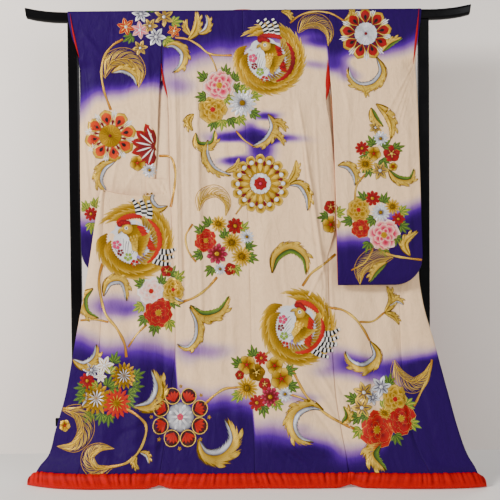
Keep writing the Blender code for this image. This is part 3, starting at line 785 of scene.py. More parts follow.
def overlap_panel(name, side, across=22, down=240):
    """The strip beyond a front, from its point at the pinch down to the hem."""
    _, seam, edge = front_rows(side, down)
    kept = np.linalg.norm(edge - seam, axis=1) >= OVERLAP_POINT
    seam, edge = seam[kept], edge[kept]
    u = np.linspace(0.0, 1.0, across)[None, :]
    grid = seam[:, None, :] + (edge - seam)[:, None, :] * u[..., None]
    grid[..., 1] -= 0.006 * np.sin(np.pi * u) * smooth_step(CLOTH_HEM_Z, 0.2, seam[:, 2])[:, None]
    free = smooth_step(1.0, 0.9, grid[..., 2]) * smooth_step(CLOTH_HEM_Z, 0.10, grid[..., 2])
    return lined_wall(name, lift_forward(grid, free * smooth_step(0.0, 0.15, u)), -1 if side < 0 else 1)


def pinched_fold(name):
    """The small fold of the left front that is drawn in at its pinch, under the fan and over the sleeve."""
    x = np.linspace(*SMALL_FOLD_X, 26)[None, :]
    z = np.linspace(SMALL_FOLD_LOW, SMALL_FOLD_LOW + SMALL_FOLD_TALL, 22)[:, None]
    up = np.pi * (z - SMALL_FOLD_LOW) / SMALL_FOLD_TALL
    lift = SMALL_FOLD_LIFT * np.sin((x * 1.6 + z) * 150.0) * np.sin(up)
    grid = np.stack([x + 0.0 * z, -(SMALL_FOLD_BEFORE + lift), z + 0.0 * x], axis=-1)
    return lined_wall(name, grid, -1)


# Red lining that shows past the edge of the silk, as seen: name, depth, half width, then the places along it
LINING_SHOWS = [
    ("left_opening_lining", 0.0230, 0.0040, (162.8, 64), (165.0, 80), (167.2, 90), (169.4, 99)),
    ("right_opening_lining", 0.0232, 0.0088, (329.4, 60), (329.4, 74), (329.2, 86), (327.6, 100)),
    ("left_cuff_lining", 0.0206, 0.0034, (72.2, 14), (74.4, 28), (77.6, 44), (81.0, 58)),
    ("right_cuff_lining", 0.0206, 0.0040, (421.0, 8), (419.2, 26), (417.2, 44), (414.8, 64)),
]


def lining_edge(name, depth, half, path):
    """A sliver of the red lining where it rolls out past the silk of an opening."""
    line = resample(spots(path), 40)
    shares = np.linspace(0.0, 1.0, 40)
    taper = half * np.maximum(np.sin(np.pi * shares**1.25), 0.06)
    across = np.linspace(-1.0, 1.0, 7)
    x = line[:, 0][:, None] + taper[:, None] * across
    deep = depth + 0.0012 * np.cos(across * math.pi / 2) + 0.0 * x
    grid = np.stack([x, -deep, line[:, 1][:, None] + 0.0 * x], axis=-1)
    return lined_wall(name, grid, 1, 0.0010, all_lining=True)


def collar_down(side, rows):
    """The collar's sewn and free edge at rows down a front's edge, from the neck to the pinch."""
    past_pinch = -0.300 if side < 0 else 0.275
    _, seam, _ = front_rows(side, 40)
    seam = [point for point in seam if point[2] < NECK_CENTRE_Z - 0.02 and side * (point[0] - past_pinch) < 0]
    seam = resample(seam, rows)
    wide = COLLAR_WIDE * (0.6 + 0.4 * smooth_step(1.0, 1.3, seam[:, 2]))
    start = seam + np.array([-side * SEAM * 2, COLLAR_LAPPED, 0.0])
    end = start + np.stack([-side * wide, np.full(rows, 0.004), np.zeros(rows)], axis=-1)
    return start, end


def collar_band(down=90, round_neck=60, across=14):
    """A band round the neck, lying over the rail's top and back, then down both front edges to the pinch."""
    outer = NECK_HALF - SEAM * 2
    gap = ON_RAIL + COLLAR_OVER
    flat = RAIL_DEEP / 2 - RAIL_CORNER + (RAIL_CORNER + gap) * math.pi / 2
    shares = np.linspace(0.0, 1.0, across)[None, :, None]
    left_start, left_end = collar_down(-1, down)
    right_start, right_end = collar_down(1, down)
    left = left_start[::-1][:, None] + (left_end - left_start)[::-1][:, None] * shares
    right = right_start[:, None] + (right_end - right_start)[:, None] * shares
    neck = []
    for angle in np.linspace(math.pi, 0.0, round_neck):
        row = []
        for share in shares.ravel():
            radius = outer - COLLAR_WIDE * share
            height = NECK_CENTRE_Z + radius * math.sin(angle)
            y, z = over_rail(flat + RAIL_TOP - RAIL_CORNER - height, gap)
            row.append((NECK_X + radius * math.cos(angle), y, z))
        neck.append(row)
    grid = np.concatenate([left, np.array(neck), right])
    return lined_wall(name="collar_cloth", grid=grid, outside=1, thick=COLLAR_THICK)


def sleeve_ring(side, u, layer_rows):
    """One closed loop of a sleeve, from the bottom up its front and down its back."""
    table = SLEEVE_LEFT if side < 0 else SLEEVE_RIGHT
    lowest = table[-1][0]
    bottom = lowest
    from_corner = (1.0 - u) * abs(table[-1][4] - table[-1][3])
    if from_corner < SLEEVE_CORNER:
        bottom += SLEEVE_CORNER - math.sqrt(SLEEVE_CORNER**2 - (SLEEVE_CORNER - from_corner) ** 2)
    shut = smooth_step(0.80, 1.0, u)

    def layer(z, which):
        z = np.atleast_1d(np.asarray(z, float))
        front, back = column(table, 0, z, 1), column(table, 0, z, 2)
        middle, half = (front + back) / 2, (front - back) / 2
        closed = shut * smooth_step(CUFF_LOW_Z + 0.010, CUFF_LOW_Z - 0.025, z)
        half = half + (SLEEVE_CLOSED / 2 - half) * closed
        half = SLEEVE_CLOSED / 2 + (half - SLEEVE_CLOSED / 2) * smooth_step(bottom, bottom + 0.03, z)
        x = column(table, 0, z, 3) + (column(table, 0, z, 4) - column(table, 0, z, 3)) * u
        free = smooth_step(1.70, 1.62, z) * smooth_step(bottom, bottom + 0.05, z) * smooth_step(0.0, 0.05, u)
        lift = crease_depth(SLEEVE_CREASE_LINES, x, z) + 0.0005 * slack(x * 1.1, z + 0.2)
        if which < 0:
            lift = 0.6 * lift
        return np.stack([x, -(middle + half * which + lift * free), z], axis=-1)

    heights = np.linspace(bottom + 0.003, SHOULDER_Z, layer_rows)
    top_x = table[0][3] + (table[0][4] - table[0][3]) * u
    rail = [(top_x, *over_rail(run, ON_RAIL)) for run in rail_runs(ON_RAIL)]
    fold = layer(bottom, 0)
    fold[:, 2] = bottom
    return np.concatenate([layer(heights, 1), rail, layer(heights[::-1], -1), fold])


def offset_ring(ring, distance):
    """Moves a closed loop outwards in its own plane of depth and height."""
    tangent = (np.roll(ring, -1, axis=0) - np.roll(ring, 1, axis=0))[:, 1:]
    tangent /= np.linalg.norm(tangent, axis=1)[:, None]
    moved = ring.copy()
    moved[:, 1:] += np.stack([-tangent[:, 1], tangent[:, 0]], axis=1) * distance
    return moved


def sleeve(name, side, across=72, layer_rows=155):
    """A flat tube round the rail: the silk from the body side out, then the lining back."""
    places = np.concatenate([np.linspace(0.0, 0.92, across - 6), np.linspace(0.935, 1.0, 6)])
    loops = [sleeve_ring(side, u, layer_rows) for u in places]
    outer = np.array([offset_ring(ring, CLOTH / 2) for ring in loops])
    inner = np.array([offset_ring(ring, -CLOTH / 2) for ring in loops[::-1]])
    rings = np.concatenate([outer, inner])
    count, size = rings.shape[:2]
    index = np.arange(count * size).reshape(count, size)
    after_ring, after = np.roll(index, -1, axis=0), np.roll(index, -1, axis=1)
    both = np.roll(after_ring, -1, axis=1)
    faces = np.stack([index, after, both, after_ring], axis=-1)
    slots = np.ones((count, size))
    slots[: across - 1] = 0
    run = grid_lengths(rings, 1)
    lay = np.stack([rings[..., 0], run], axis=-1)
    dye = dye_amount(rings, name.replace("_cloth", "")).ravel()
    return new_piece(
        name, rings, faces.reshape(-1, 4).tolist(), [SILK, LINING], slots.ravel(), lay, {"dye": dye}
    )


# Padded hem


def hem_roll(name, start, end, start_size, end_size, sides=28):
    """A roll of red silk over wadding, gathered where it is caught down. Sizes give how full each end is."""
    count = int((end - start) / GATHER_STEP) + 1
    x = np.linspace(start, end, count)
    from_start, from_end = x - start, end - x
    start_power, end_power = (TIP_POWER if size < NOTCH else NOTCH_POWER for size in (start_size, end_size))
    size = start_size + (1 - start_size) * smooth_step(0.0, END_LONG, from_start) ** start_power
    size = np.minimum(size, end_size + (1 - end_size) * smooth_step(0.0, END_LONG, from_end) ** end_power)
    at_tip = np.where(from_start < from_end, start_size, end_size) < NOTCH
    tall = ROLL_TALL * np.where(at_tip, size, NOTCH_TALL + (1 - NOTCH_TALL) * size)
    middle = np.where(at_tip, tall / 2, ROLL_TALL - tall / 2)
    depth = hem_depth(x)
    angle = 2 * np.pi * (np.arange(sides) + 0.5) / sides
    crowd = x + 0.004 * np.sin(x * 41.0) + 0.0026 * np.sin(x * 93.0 + 1.0)
    lean = 0.010 * np.sin(angle[None, :]) * np.sin(x * 9.0 + 0.6)[:, None]
    place = crowd[:, None] + lean
    fine = np.abs(np.sin(place * FINE_GATHERS)) ** GATHER_POWER
    broad = np.abs(np.sin(place * WIDE_GATHERS + 0.9)) ** GATHER_POWER
    gather = 1.3 * fine + 1.1 * broad - 0.7
    puff = 0.5 + 0.5 * np.sin(x * 23.0 + 1.2 * np.sin(x * 7.0))[:, None]
    notch = np.exp(-((from_start / NOTCH_LONG) ** 2)) + np.exp(-((from_end / NOTCH_LONG) ** 2))
    swell = 0.950 + (0.048 + 0.030 * puff + 0.030 * notch[:, None]) * (gather - 0.95)
    above_floor = np.clip(1.0 + 1.6 * np.sin(angle), 0.0, 1.0)[None, :]
    swell = 1.0 + (swell - 1.0) * above_floor
    rings = np.empty((count, sides, 3))
    rings[..., 0] = x[:, None]
    rings[..., 1] = -depth[:, None] + (ROLL_HALF_DEEP * size)[:, None] * np.cos(angle) * swell
    flat = math.cos(math.pi / sides)
    rings[..., 2] = middle[:, None] + (tall / 2)[:, None] * np.sin(angle) / flat * swell
    index = np.arange(count * sides).reshape(count, sides)
    after = np.roll(index, -1, axis=1)
    quads = np.stack([index[:-1], after[:-1], after[1:], index[1:]], axis=-1).reshape(-1, 4).tolist()
    faces = quads + [index[0, ::-1].tolist(), index[-1].tolist()]
    lay = np.stack(
        [np.broadcast_to(x[:, None], (count, sides)), angle[None, :] * ROLL_ROUND + 0 * x[:, None]], axis=-1
    )
    # Painted shade: how high each point stands in the gathers, so that the silk darkens their hollows
    gather_shade = np.clip((swell - 0.86) / 0.14, 0.0, 1.0)
    return new_piece(name, rings, faces, [PADDED_SILK], uv=lay, values={"fold": gather_shade.ravel()})


# Materials


def linear(red, green, blue):
    """A colour as the eye names it, from 0 to 255, in the linear light that shaders use."""
    parts = [value / 255.0 for value in (red, green, blue)]
    return tuple(p / 12.92 if p <= 0.04045 else ((p + 0.055) / 1.055) ** 2.4 for p in parts)


def new_material(name):
    made = bpy.data.materials.new(name)
    made.use_nodes = True
    return made, made.node_tree, made.node_tree.nodes["Principled BSDF"]


def feed(tree, made, given):
    """Gives a node's inputs their values, or the outputs that feed them."""
    for label, value in given.items():
        socket = made.inputs[label]
        if isinstance(value, bpy.types.NodeSocket):
            tree.links.new(value, socket)
        else:
            socket.default_value = value


def node(tree, kind, given=None, **settings):
    made = tree.nodes.new(kind)
    for key, value in settings.items():
        setattr(made, key, value)
    feed(tree, made, given or {})
    return made


def shader_group(name, inputs, outputs):
    """An empty node group with named sockets: name, kind and first value of each input, name and kind of each
    output."""
    tree = bpy.data.node_groups.new(name, "ShaderNodeTree")
    for label, kind, value in inputs:
        socket = tree.interface.new_socket(label, in_out="INPUT", socket_type=kind)
        if value is not None:
            socket.default_value = value
    for label, kind in outputs:
        tree.interface.new_socket(label, in_out="OUTPUT", socket_type=kind)
    return tree, tree.nodes.new("NodeGroupInput"), tree.nodes.new("NodeGroupOutput")


def maths(tree, operation, first, second=None):
    given = {0: first} if second is None else {0: first, 1: second}
    return node(tree, "ShaderNodeMath", given, operation=operation).outputs[0]


def noise(tree, place, **looks):
    return node(tree, "ShaderNodeTexNoise", {"Vector": place, **looks}).outputs["Fac"]


def ridges(tree, along, turns):
    """Rounded ridges side by side, as threads lie."""
    return maths(tree, "ABSOLUTE", maths(tree, "SINE", maths(tree, "MULTIPLY", along, turns)))


def mix_colour(tree, share, first, second):
    given = {"Factor": share, "A": (*first, 1.0), "B": (*second, 1.0)}
    return node(tree, "ShaderNodeMix", given, data_type="RGBA").outputs["Result"]


FLOAT, VECTOR, OBJECT = "NodeSocketFloat", "NodeSocketVector", "NodeSocketObject"
GEOMETRY, MATERIAL = "NodeSocketGeometry", "NodeSocketMaterial"


def group_plain_weave():
    """Warp and weft, with slubs. Place is in metres, so thread spacing is too."""
    tree, given, out = shader_group(
        "plain_weave", [("Place", VECTOR, None), ("Threads per metre", FLOAT, 1400.0), ("Slub", FLOAT, 0.3)],
        [("Height", FLOAT), ("Shade", FLOAT)],
    )
    place = given.outputs["Place"]
    apart = node(tree, "ShaderNodeSeparateXYZ", {0: place})
    turns = maths(tree, "MULTIPLY", given.outputs["Threads per metre"], math.pi)
    warp, weft = (ridges(tree, apart.outputs[axis], turns) for axis in (0, 1))
    stretch = node(tree, "ShaderNodeVectorMath", {0: place, 1: (1.0, 0.12, 1.0)}, operation="MULTIPLY")
    slubs = noise(tree, stretch.outputs[0], Scale=160.0, Detail=3.0)
    raised = maths(tree, "MULTIPLY", slubs, given.outputs["Slub"])
    feed(
        tree, out, {"Height": maths(tree, "ADD", maths(tree, "MULTIPLY", warp, weft), raised), "Shade": slubs}
    )
    return tree


def group_figured_ground():
    """The woven figure: a key-fret ground crossed by drifting sprays, as a mask from 0 to 1."""
    tree, given, out = shader_group(
        "figured_ground", [("Place", VECTOR, None), ("Figure size", FLOAT, 0.035)], [("Figure", FLOAT)]
    )
    place = given.outputs["Place"]
    scale = maths(tree, "DIVIDE", 1.0, given.outputs["Figure size"])
    drift = {"Randomness": 0.85, "Smoothness": 0.4, "Vector": place, "Scale": scale}
    spray = node(tree, "ShaderNodeTexVoronoi", drift, feature="SMOOTH_F1")
    petals = maths(tree, "SINE", maths(tree, "MULTIPLY", spray.outputs["Distance"], 21.0))
    fret = {
        "Mortar Size": 0.09, "Color1": (0, 0, 0, 1), "Color2": (0.15, 0.15, 0.15, 1), "Mortar": (1, 1, 1, 1),
        "Vector": place, "Scale": maths(tree, "MULTIPLY", scale, 4.0),
    }
    key = node(tree, "ShaderNodeTexBrick", fret, offset=0.5)
    spread = node(tree, "ShaderNodeMapRange", {"From Min": -0.2, "From Max": 0.5, "Value": petals})
    both = maths(
        tree, "MAXIMUM", spread.outputs["Result"], maths(tree, "MULTIPLY", key.outputs["Color"], 0.7)
    )
    feed(tree, out, {"Figure": both})
    return tree


def bump(tree, height, distance, strength=1.0, after=None):
    given = {"Distance": distance, "Strength": strength, "Height": height}
    if after is not None:
        given["Normal"] = after
    return node(tree, "ShaderNodeBump", given).outputs["Normal"]


def ramp(tree, value, stops):
    made = node(tree, "ShaderNodeValToRGB", {"Fac": value})
    made.color_ramp.interpolation = "LINEAR"
    while len(made.color_ramp.elements) < len(stops):
        made.color_ramp.elements.new(0.5)
    for element, (place, colour) in zip(made.color_ramp.elements, stops):
        element.position = place
        element.color = (*colour, 1.0)
    return made.outputs["Color"]


# Cream silk and the violet it is dyed, from undyed to full strength
DYE_STOPS = [
    (0.0, linear(250, 211, 166)),
    (0.14, linear(208, 176, 174)),
    (0.40, linear(140, 98, 166)),
    (0.66, linear(76, 20, 140)),
    (0.88, linear(46, 0, 98)),
    (1.0, linear(36, 0, 80)),
]


def lay_of(tree):
    return node(tree, "ShaderNodeUVMap", uv_map="cloth_lay").outputs["UV"]


def attribute(tree, name):
    return node(tree, "ShaderNodeAttribute", attribute_type="GEOMETRY", attribute_name=name)


def figured_silk(weave, figure):
    """Cream satin with its woven figure, taking the dye where the cloth was dipped."""
    made, tree, shader = new_material("figured_silk")
    lay = lay_of(tree)
    threads = node(
        tree, "ShaderNodeGroup", {"Place": lay, "Threads per metre": 1500.0, "Slub": 0.5}, node_tree=weave
    )
    ground = node(
        tree, "ShaderNodeGroup", {"Place": lay, "Figure size": 0.046}, node_tree=figure
    ).outputs["Figure"]
    place = node(tree, "ShaderNodeTexCoord").outputs["Object"]
    uneven = maths(tree, "SUBTRACT", noise(tree, place, Scale=7.0, Detail=5.0), 0.5)
    dye = attribute(tree, "dye").outputs["Fac"]
    inside = maths(tree, "MULTIPLY", dye, maths(tree, "SUBTRACT", 1.0, dye))
    taken = maths(tree, "ADD", dye, maths(tree, "MULTIPLY", maths(tree, "MULTIPLY", uneven, inside), 0.5))
    figure_shade = maths(tree, "MULTIPLY", ground, 0.075)
    cloth_shade = maths(tree, "MULTIPLY", maths(tree, "ADD", uneven, threads.outputs["Shade"]), 0.10)
    shade = maths(tree, "SUBTRACT", maths(tree, "SUBTRACT", 1.03, figure_shade), cloth_shade)
    dyed = {0: ramp(tree, taken, DYE_STOPS), "Scale": shade}
    drawn = node(
        tree, "ShaderNodeVectorMath", {0: place, 1: (1.0, 0.5, 0.42)}, operation="MULTIPLY"
    ).outputs[0]
    soft = bump(tree, noise(tree, drawn, Scale=26.0, Detail=3.0, Distortion=0.7), 0.010, 0.60)
    first = bump(tree, ground, 0.00018, 1.0, soft)
    feed(tree, shader, {
        "Base Color": node(tree, "ShaderNodeVectorMath", dyed, operation="SCALE").outputs[0],
        "Roughness": maths(tree, "SUBTRACT", 0.60, maths(tree, "MULTIPLY", ground, 0.10)),
        "Normal": bump(tree, threads.outputs["Height"], 0.00012, 0.6, first),
        "Sheen Weight": 0.05,
        "Sheen Roughness": 0.45,
        "Specular IOR Level": 0.07,
    })
    return made


def plain_silk(name, weave, colour, deep, roughness, fold=False):
    """Plain red silk. Where it is gathered, painted shade darkens the bottoms of the gathers."""
    made, tree, shader = new_material(name)
    given = {"Place": lay_of(tree), "Threads per metre": 1300.0, "Slub": 0.6}
    threads = node(tree, "ShaderNodeGroup", given, node_tree=weave)
    share = maths(tree, "MULTIPLY", threads.outputs["Shade"], 0.55)
    if fold:
        # Painted shade: the hollows of the gathers, where fold is low, are drawn towards the deep colour
        gather_hollow_shade = maths(tree, "SUBTRACT", 1.0, attribute(tree, "fold").outputs["Fac"])
        share = maths(tree, "ADD", maths(tree, "MULTIPLY", gather_hollow_shade, 0.9), maths(tree, "MULTIPLY", share, 0.5))
    feed(tree, shader, {
        "Base Color": mix_colour(tree, share, colour, deep),
        "Roughness": maths(tree, "ADD", roughness, maths(tree, "MULTIPLY", threads.outputs["Shade"], 0.12)),
        "Normal": bump(tree, threads.outputs["Height"], 0.00015, 0.7),
        "Specular IOR Level": 0.12,
    })
    return made


def black_lacquer():
    """Polished black lacquer, faintly uneven, with a dull bloom of handling."""
    made, tree, shader = new_material("black_lacquer")
    place = node(tree, "ShaderNodeTexCoord").outputs["Object"]
    bloom = noise(tree, place, Scale=9.0, Detail=6.0)
    feed(tree, shader, {
        "Base Color": mix_colour(tree, bloom, (0.0010, 0.0009, 0.0012), (0.0035, 0.0032, 0.0036)),
        "Roughness": maths(tree, "ADD", 0.10, maths(tree, "MULTIPLY", bloom, 0.16)),
        "Normal": bump(tree, noise(tree, place, Scale=40.0), 0.0006, 0.25),
        "Specular IOR Level": 0.12,
        "Coat Weight": 0.06,
        "Coat Roughness": 0.06,
    })
    return made


def thread_material(name, laid, metallic, roughness):
    """Laid thread: colour from the work itself, with a fine ridge for every thread and painted shade in the
    gap between two.
    """
    made, tree, shader = new_material(name)
    threads = node(
        tree, "ShaderNodeGroup", {"Place": lay_of(tree), "Threads per metre": 1150.0}, node_tree=laid
    )
    gap = threads.outputs["Gap"]
    # Painted shade: the thread's colour is darkened in the gaps between threads
    painted_gap_shade = {"Factor": gap, "A": attribute(tree, "thread").outputs["Color"], "B": (0.45, 0.42, 0.42, 1.0)}
    feed(tree, shader, {
        "Base Color": node(
            tree, "ShaderNodeMix", painted_gap_shade, data_type="RGBA", blend_type="MULTIPLY"
        ).outputs["Result"],
        "Metallic": metallic,
        "Specular IOR Level": 0.2,
        "Roughness": maths(tree, "ADD", roughness, maths(tree, "MULTIPLY", gap, 0.2)),
        "Normal": bump(tree, threads.outputs["Height"], 0.0003, 0.8),
    })
    return made


def group_laid_thread():
    """Threads that lie side by side: height of each, and the gap between two, where painted shade falls."""
    tree, given, out = shader_group(
        "laid_thread",
        [("Place", VECTOR, None), ("Threads per metre", FLOAT, 1150.0)],
        [("Height", FLOAT), ("Gap", FLOAT)],
    )
    apart = node(tree, "ShaderNodeSeparateXYZ", {0: given.outputs["Place"]})
    turns = maths(tree, "MULTIPLY", given.outputs["Threads per metre"], math.pi)
    wave = ridges(tree, apart.outputs[0], turns)
    gap = maths(tree, "POWER", maths(tree, "SUBTRACT", 1.0, wave), 3.0)
    feed(tree, out, {"Height": maths(tree, "POWER", wave, 0.5), "Gap": gap})
    return tree


WEAVE = group_plain_weave()
FIGURE = group_figured_ground()
SILK = figured_silk(WEAVE, FIGURE)
LINING = plain_silk("lining_silk", WEAVE, linear(172, 8, 12), linear(110, 3, 8), 0.5)
# The padded silk's deep colour serves both its slubs and the painted shade in the gathers' hollows
PADDED_SILK = plain_silk("padded_silk", WEAVE, linear(206, 2, 0), linear(112, 0, 0), 0.5, fold=True)
LACQUER = black_lacquer()
LAID = group_laid_thread()
METAL_THREAD = thread_material("metal_thread", LAID, 0.70, 0.34)
SILK_THREAD = thread_material("silk_thread", LAID, 0.0, 0.46)

# Embroidery: threads and colours

GOLD = linear(178, 134, 20)
BRIGHT_GOLD = linear(230, 192, 82)
OLD_GOLD = linear(132, 96, 6)
DEEP_GOLD = linear(82, 54, 4)
VINE_GOLD = linear(180, 112, 34)
SILVER = linear(214, 214, 218)
DULL_SILVER = linear(96, 96, 108)
WHITE = linear(240, 236, 230)
RED = linear(168, 0, 4)
CRIMSON = linear(112, 0, 8)
ORANGE = linear(190, 32, 0)
PALE_ORANGE = linear(212, 82, 0)
PINK = linear(212, 50, 100)
BLUSH = linear(244, 160, 140)
LILAC = linear(140, 112, 196)
LEAF_GREEN = linear(84, 112, 34)
DARK_GREEN = linear(34, 62, 22)
BRIGHT_GREEN = linear(128, 160, 36)
BLACK = linear(8, 6, 10)
INK = linear(44, 30, 70)

# Threads of scroll leaves from the midrib out, the inner half by its kind, and the ground under the strokes
GOLD_RUN = [GOLD, BRIGHT_GOLD, GOLD]
RISING_GOLD = [OLD_GOLD, GOLD, BRIGHT_GOLD]
INNER_RUN = {
    "silver": [DULL_SILVER, SILVER, DULL_SILVER],
    "green": [DARK_GREEN, LEAF_GREEN, BRIGHT_GREEN],
    "veined": [GOLD, BRIGHT_GOLD],
}
INNER_BASE = {"silver": DULL_SILVER, "green": DARK_GREEN}

# A scroll leaf: rows along it, its two halves as shares of its width, where its lobes leave it as shares of
# its length, and the spacing and width of its strokes in metres, those of an open leaf first
LEAF_ROWS = 48
OUTER_HALF, INNER_HALF = 0.68, 0.38
LOBE_PLACES = (0.34, 0.52, 0.70)
OPEN_SPACING, FULL_SPACING = 0.0088, 0.0046
OPEN_STROKE, FULL_STROKE = 0.0024, 0.0042

# How far each kind of work stands off the cloth, in metres
VINE_RISE = 0.0007
LEAF_RISE = 0.0009
PETAL_RISE = 0.0010
TOP_RISE = 0.0016
EDGE_EXTRA = 0.0004
EDGE_WIDE = 0.0011


class Kit:
    """Patches of one kind of thread, as flat points over the cloth, with their rise, colour and thread
    run.
    """

    def __init__(self):
        self.points, self.faces, self.rises, self.colours, self.lay = [], [], [], [], []
        self.count = 0


class Frame:
    """Where embroidery is worked, in metal and in silk. way is 1 for the front and -1 for the back."""

    def __init__(self, name, way):
        self.name, self.way = name, way
        self.kits = {1.0: Kit(), 0.0: Kit()}

    def patch(self, points, rises, colours, metal, lay):
        """A grid of points with a value of each kind at every one."""
        kit = self.kits[metal]
        rows, columns = points.shape[:2]
        index = kit.count + np.arange(rows * columns).reshape(rows, columns)
        quads = np.stack([index[:-1, :-1], index[1:, :-1], index[1:, 1:], index[:-1, 1:]], axis=-1)
        kit.faces.append(quads.reshape(-1, 4))
        kit.points.append(points.reshape(-1, 2))
        kit.rises.append(np.broadcast_to(rises, (rows, columns)).ravel())
        kit.colours.append(np.broadcast_to(colours, (rows, columns, 3)).reshape(-1, 3))
        kit.lay.append(lay.reshape(-1, 2))
        kit.count += rows * columns


METAL_THREADS = (GOLD, BRIGHT_GOLD, OLD_GOLD, DEEP_GOLD, VINE_GOLD, SILVER, DULL_SILVER)


def is_metal(colour):
    return 1.0 if colour in METAL_THREADS else 0.0


def blend_colours(colours, shares):
    """Colours along a run: any number of them, spaced evenly."""
    table = np.array(colours, float)
    if len(table) == 1:
        table = np.repeat(table, 2, axis=0)
    place = np.clip(shares, 0, 1) * (len(table) - 1)
    k = np.minimum(place.astype(int), len(table) - 2)
    part = (place - k)[..., None]
    return table[k] * (1 - part) + table[k + 1] * part


def smooth_path(points, count):
    """A smooth run of points through a few given ones."""
    points = np.array(points, float)
    along = lengths_along(points)
    fine = np.linspace(0.0, along[-1], count)
    slopes = np.gradient(points, along, axis=0) if len(points) > 2 else np.repeat(
        (points[1:] - points[:1]) / along[-1], 2, axis=0
    )
    k = np.clip(np.searchsorted(along, fine, side="right") - 1, 0, len(along) - 2)
    gap = (along[k + 1] - along[k])[:, None]
    return cubic(points, slopes, k, gap, (fine - along[k])[:, None] / gap)


def left_of(path):
    tangent = np.gradient(path, axis=0)
    tangent /= np.maximum(np.linalg.norm(tangent, axis=1), 1e-9)[:, None]
    return np.stack([-tangent[:, 1], tangent[:, 0]], axis=1)


def band(work, path, left, right, colours, rise, columns=5, edge=None, threads="across", floor=0.00025):
    """A patch of thread along a path, out to a width on each side of it. Its middle stands highest.
    Colours run from the path's start to its end; edge is the colour of a fine cord laid down both sides.
    """
    path = np.asarray(path, float)
    rows = len(path)
    left = np.broadcast_to(left, (rows,))
    right = np.broadcast_to(right, (rows,))
    side = left_of(path)
    across = np.linspace(-1.0, 1.0, columns)
    width = np.where(across[None, :] < 0, right[:, None], left[:, None])
    points = path[:, None, :] + side[:, None, :] * (across[None, :] * width)[..., None]
    dome = np.sqrt(np.clip(1.0 - across**2, 0.0, 1.0))[None, :]
    shares = np.linspace(0.0, 1.0, rows)
    # Painted shade: each band is darker towards its sides than at its raised middle
    tint = blend_colours(colours, shares)[:, None, :] * (0.80 + 0.20 * dome)[..., None]
    length = lengths_along(path)
    run = np.broadcast_to(length[:, None], (rows, columns))
    lay = [run, across[None, :] * width] if threads == "across" else [across[None, :] * width, run]
    ends = np.sin(np.pi * np.clip(shares, 0.04, 0.96)) ** 0.3
    work.patch(
        points, floor + rise * dome * ends[:, None], tint, is_metal(colours[0]), np.stack(lay, axis=-1)
    )
    if edge is not None:
        for sign, width in ((1.0, left), (-1.0, right)):
            line = path + side * (sign * width)[:, None]
            cord(work, line, edge, floor + EDGE_EXTRA)


def cord(work, line, colour, rise, wide=EDGE_WIDE):
    """One laid cord along a line."""
    side = left_of(line) * wide / 2
    points = np.stack([line - side, line + side * 0, line + side], axis=1)
    rises = np.broadcast_to(np.array([0.0002, rise + 0.0004, 0.0002]), (len(line), 3))
    length = lengths_along(line)
    lay = np.stack(
        [np.repeat(length[:, None], 3, 1), np.tile([-wide / 2, 0, wide / 2], (len(line), 1))], axis=-1
    )
    work.patch(points, rises, np.array(colour), is_metal(colour), lay)


def rounded(shares, fullness=0.5):
    return np.sin(np.pi * np.clip(shares, 0.0, 1.0)) ** fullness


def turned(point, angle, far):
    return (point[0] + far * math.cos(angle), point[1] + far * math.sin(angle))


def petal(work, centre, angle, start, end, wide, colours, rise, edge=None, tip=0.62, rows=7, floor=0.0003):
    """A petal that points away from a centre. tip is where it is widest, as a share of its length."""
    shares = np.linspace(0.0, 1.0, rows)
    path = np.array([turned(centre, angle, start + (end - start) * share) for share in shares])
    skew = shares ** (math.log(0.5) / math.log(tip))
    profile = wide / 2 * np.maximum(rounded(skew, 0.75), 0.08 * (shares < 0.5))
    band(work, path, profile, profile, colours, rise, 5, edge, "along", floor)


def petals_round(work, centre, count, turn, *looks, between=0.0):
    """Petals all alike about a centre. between moves them on, as a share of the way from one to the next."""
    for k in range(count):
        petal(work, centre, turn + 2 * math.pi * (k + between) / count, *looks)


def disc(work, centre, radius, colours, rise, floor=0.0004, lobes=0, depth=0.0, edge=None, segments=24):
    """A round or scalloped patch, its threads running out from the middle."""
    angles = np.linspace(0.0, -2 * np.pi, segments + 1)
    shares = np.array([0.02, 0.35, 0.7, 1.0])
    reach = radius * (1.0 + depth * (np.abs(np.cos(angles * lobes / 2)) - 0.6 if lobes else 0.0 * angles))
    far = shares[:, None] * reach[None, :]
    points = np.stack([centre[0] + far * np.cos(angles), centre[1] + far * np.sin(angles)], axis=-1)
    dome = np.sqrt(np.clip(1.0 - shares**2, 0.0, 1.0))[:, None]
    tint = blend_colours(colours, shares)[:, None, :]
    lay = np.stack([angles[None, :] * radius * 0.7 + 0 * far, far], axis=-1)
    work.patch(points[:, ::-1], floor + rise * dome, tint, is_metal(colours[0]), lay[:, ::-1])
    if edge is not None:
        cord(work, points[-1], edge, floor + EDGE_EXTRA)


# Embroidery: flowers and leaves. Sizes are radii in metres.

# How much fuller leaves and flowers are worked than their tables say, and the petals inside the largest
# flowers
LEAF_FULL = 1.3
FLOWER_FULL = 1.16
INNER_PETALS = 11

# A sprig's length, and how far its foot stands back under the flowers, in metres
SPRIG_LENGTH = 0.046
SPRIG_BACK = 0.016


def many_petalled(
    work, centre, radius, colours, petals=14, heart=OLD_GOLD, turn=0.0, wide=1.0, edge=None, over=0.0
):
    """A chrysanthemum: two rounds of narrow petals about a small heart. over lifts it onto other work."""
    for ring, (reach, lift) in enumerate(((1.0, over), (0.66, over + 0.0004))):
        width = wide * 2.0 * math.pi * radius * reach / petals * 0.62
        petals_round(
            work, centre, petals, turn, radius * 0.14, radius * reach, width, colours, PETAL_RISE, edge, 0.70,
            5, 0.0003 + lift, between=0.5 * ring,
        )
    disc(work, centre, radius * 0.2, [heart], TOP_RISE, over + 0.001, segments=10)


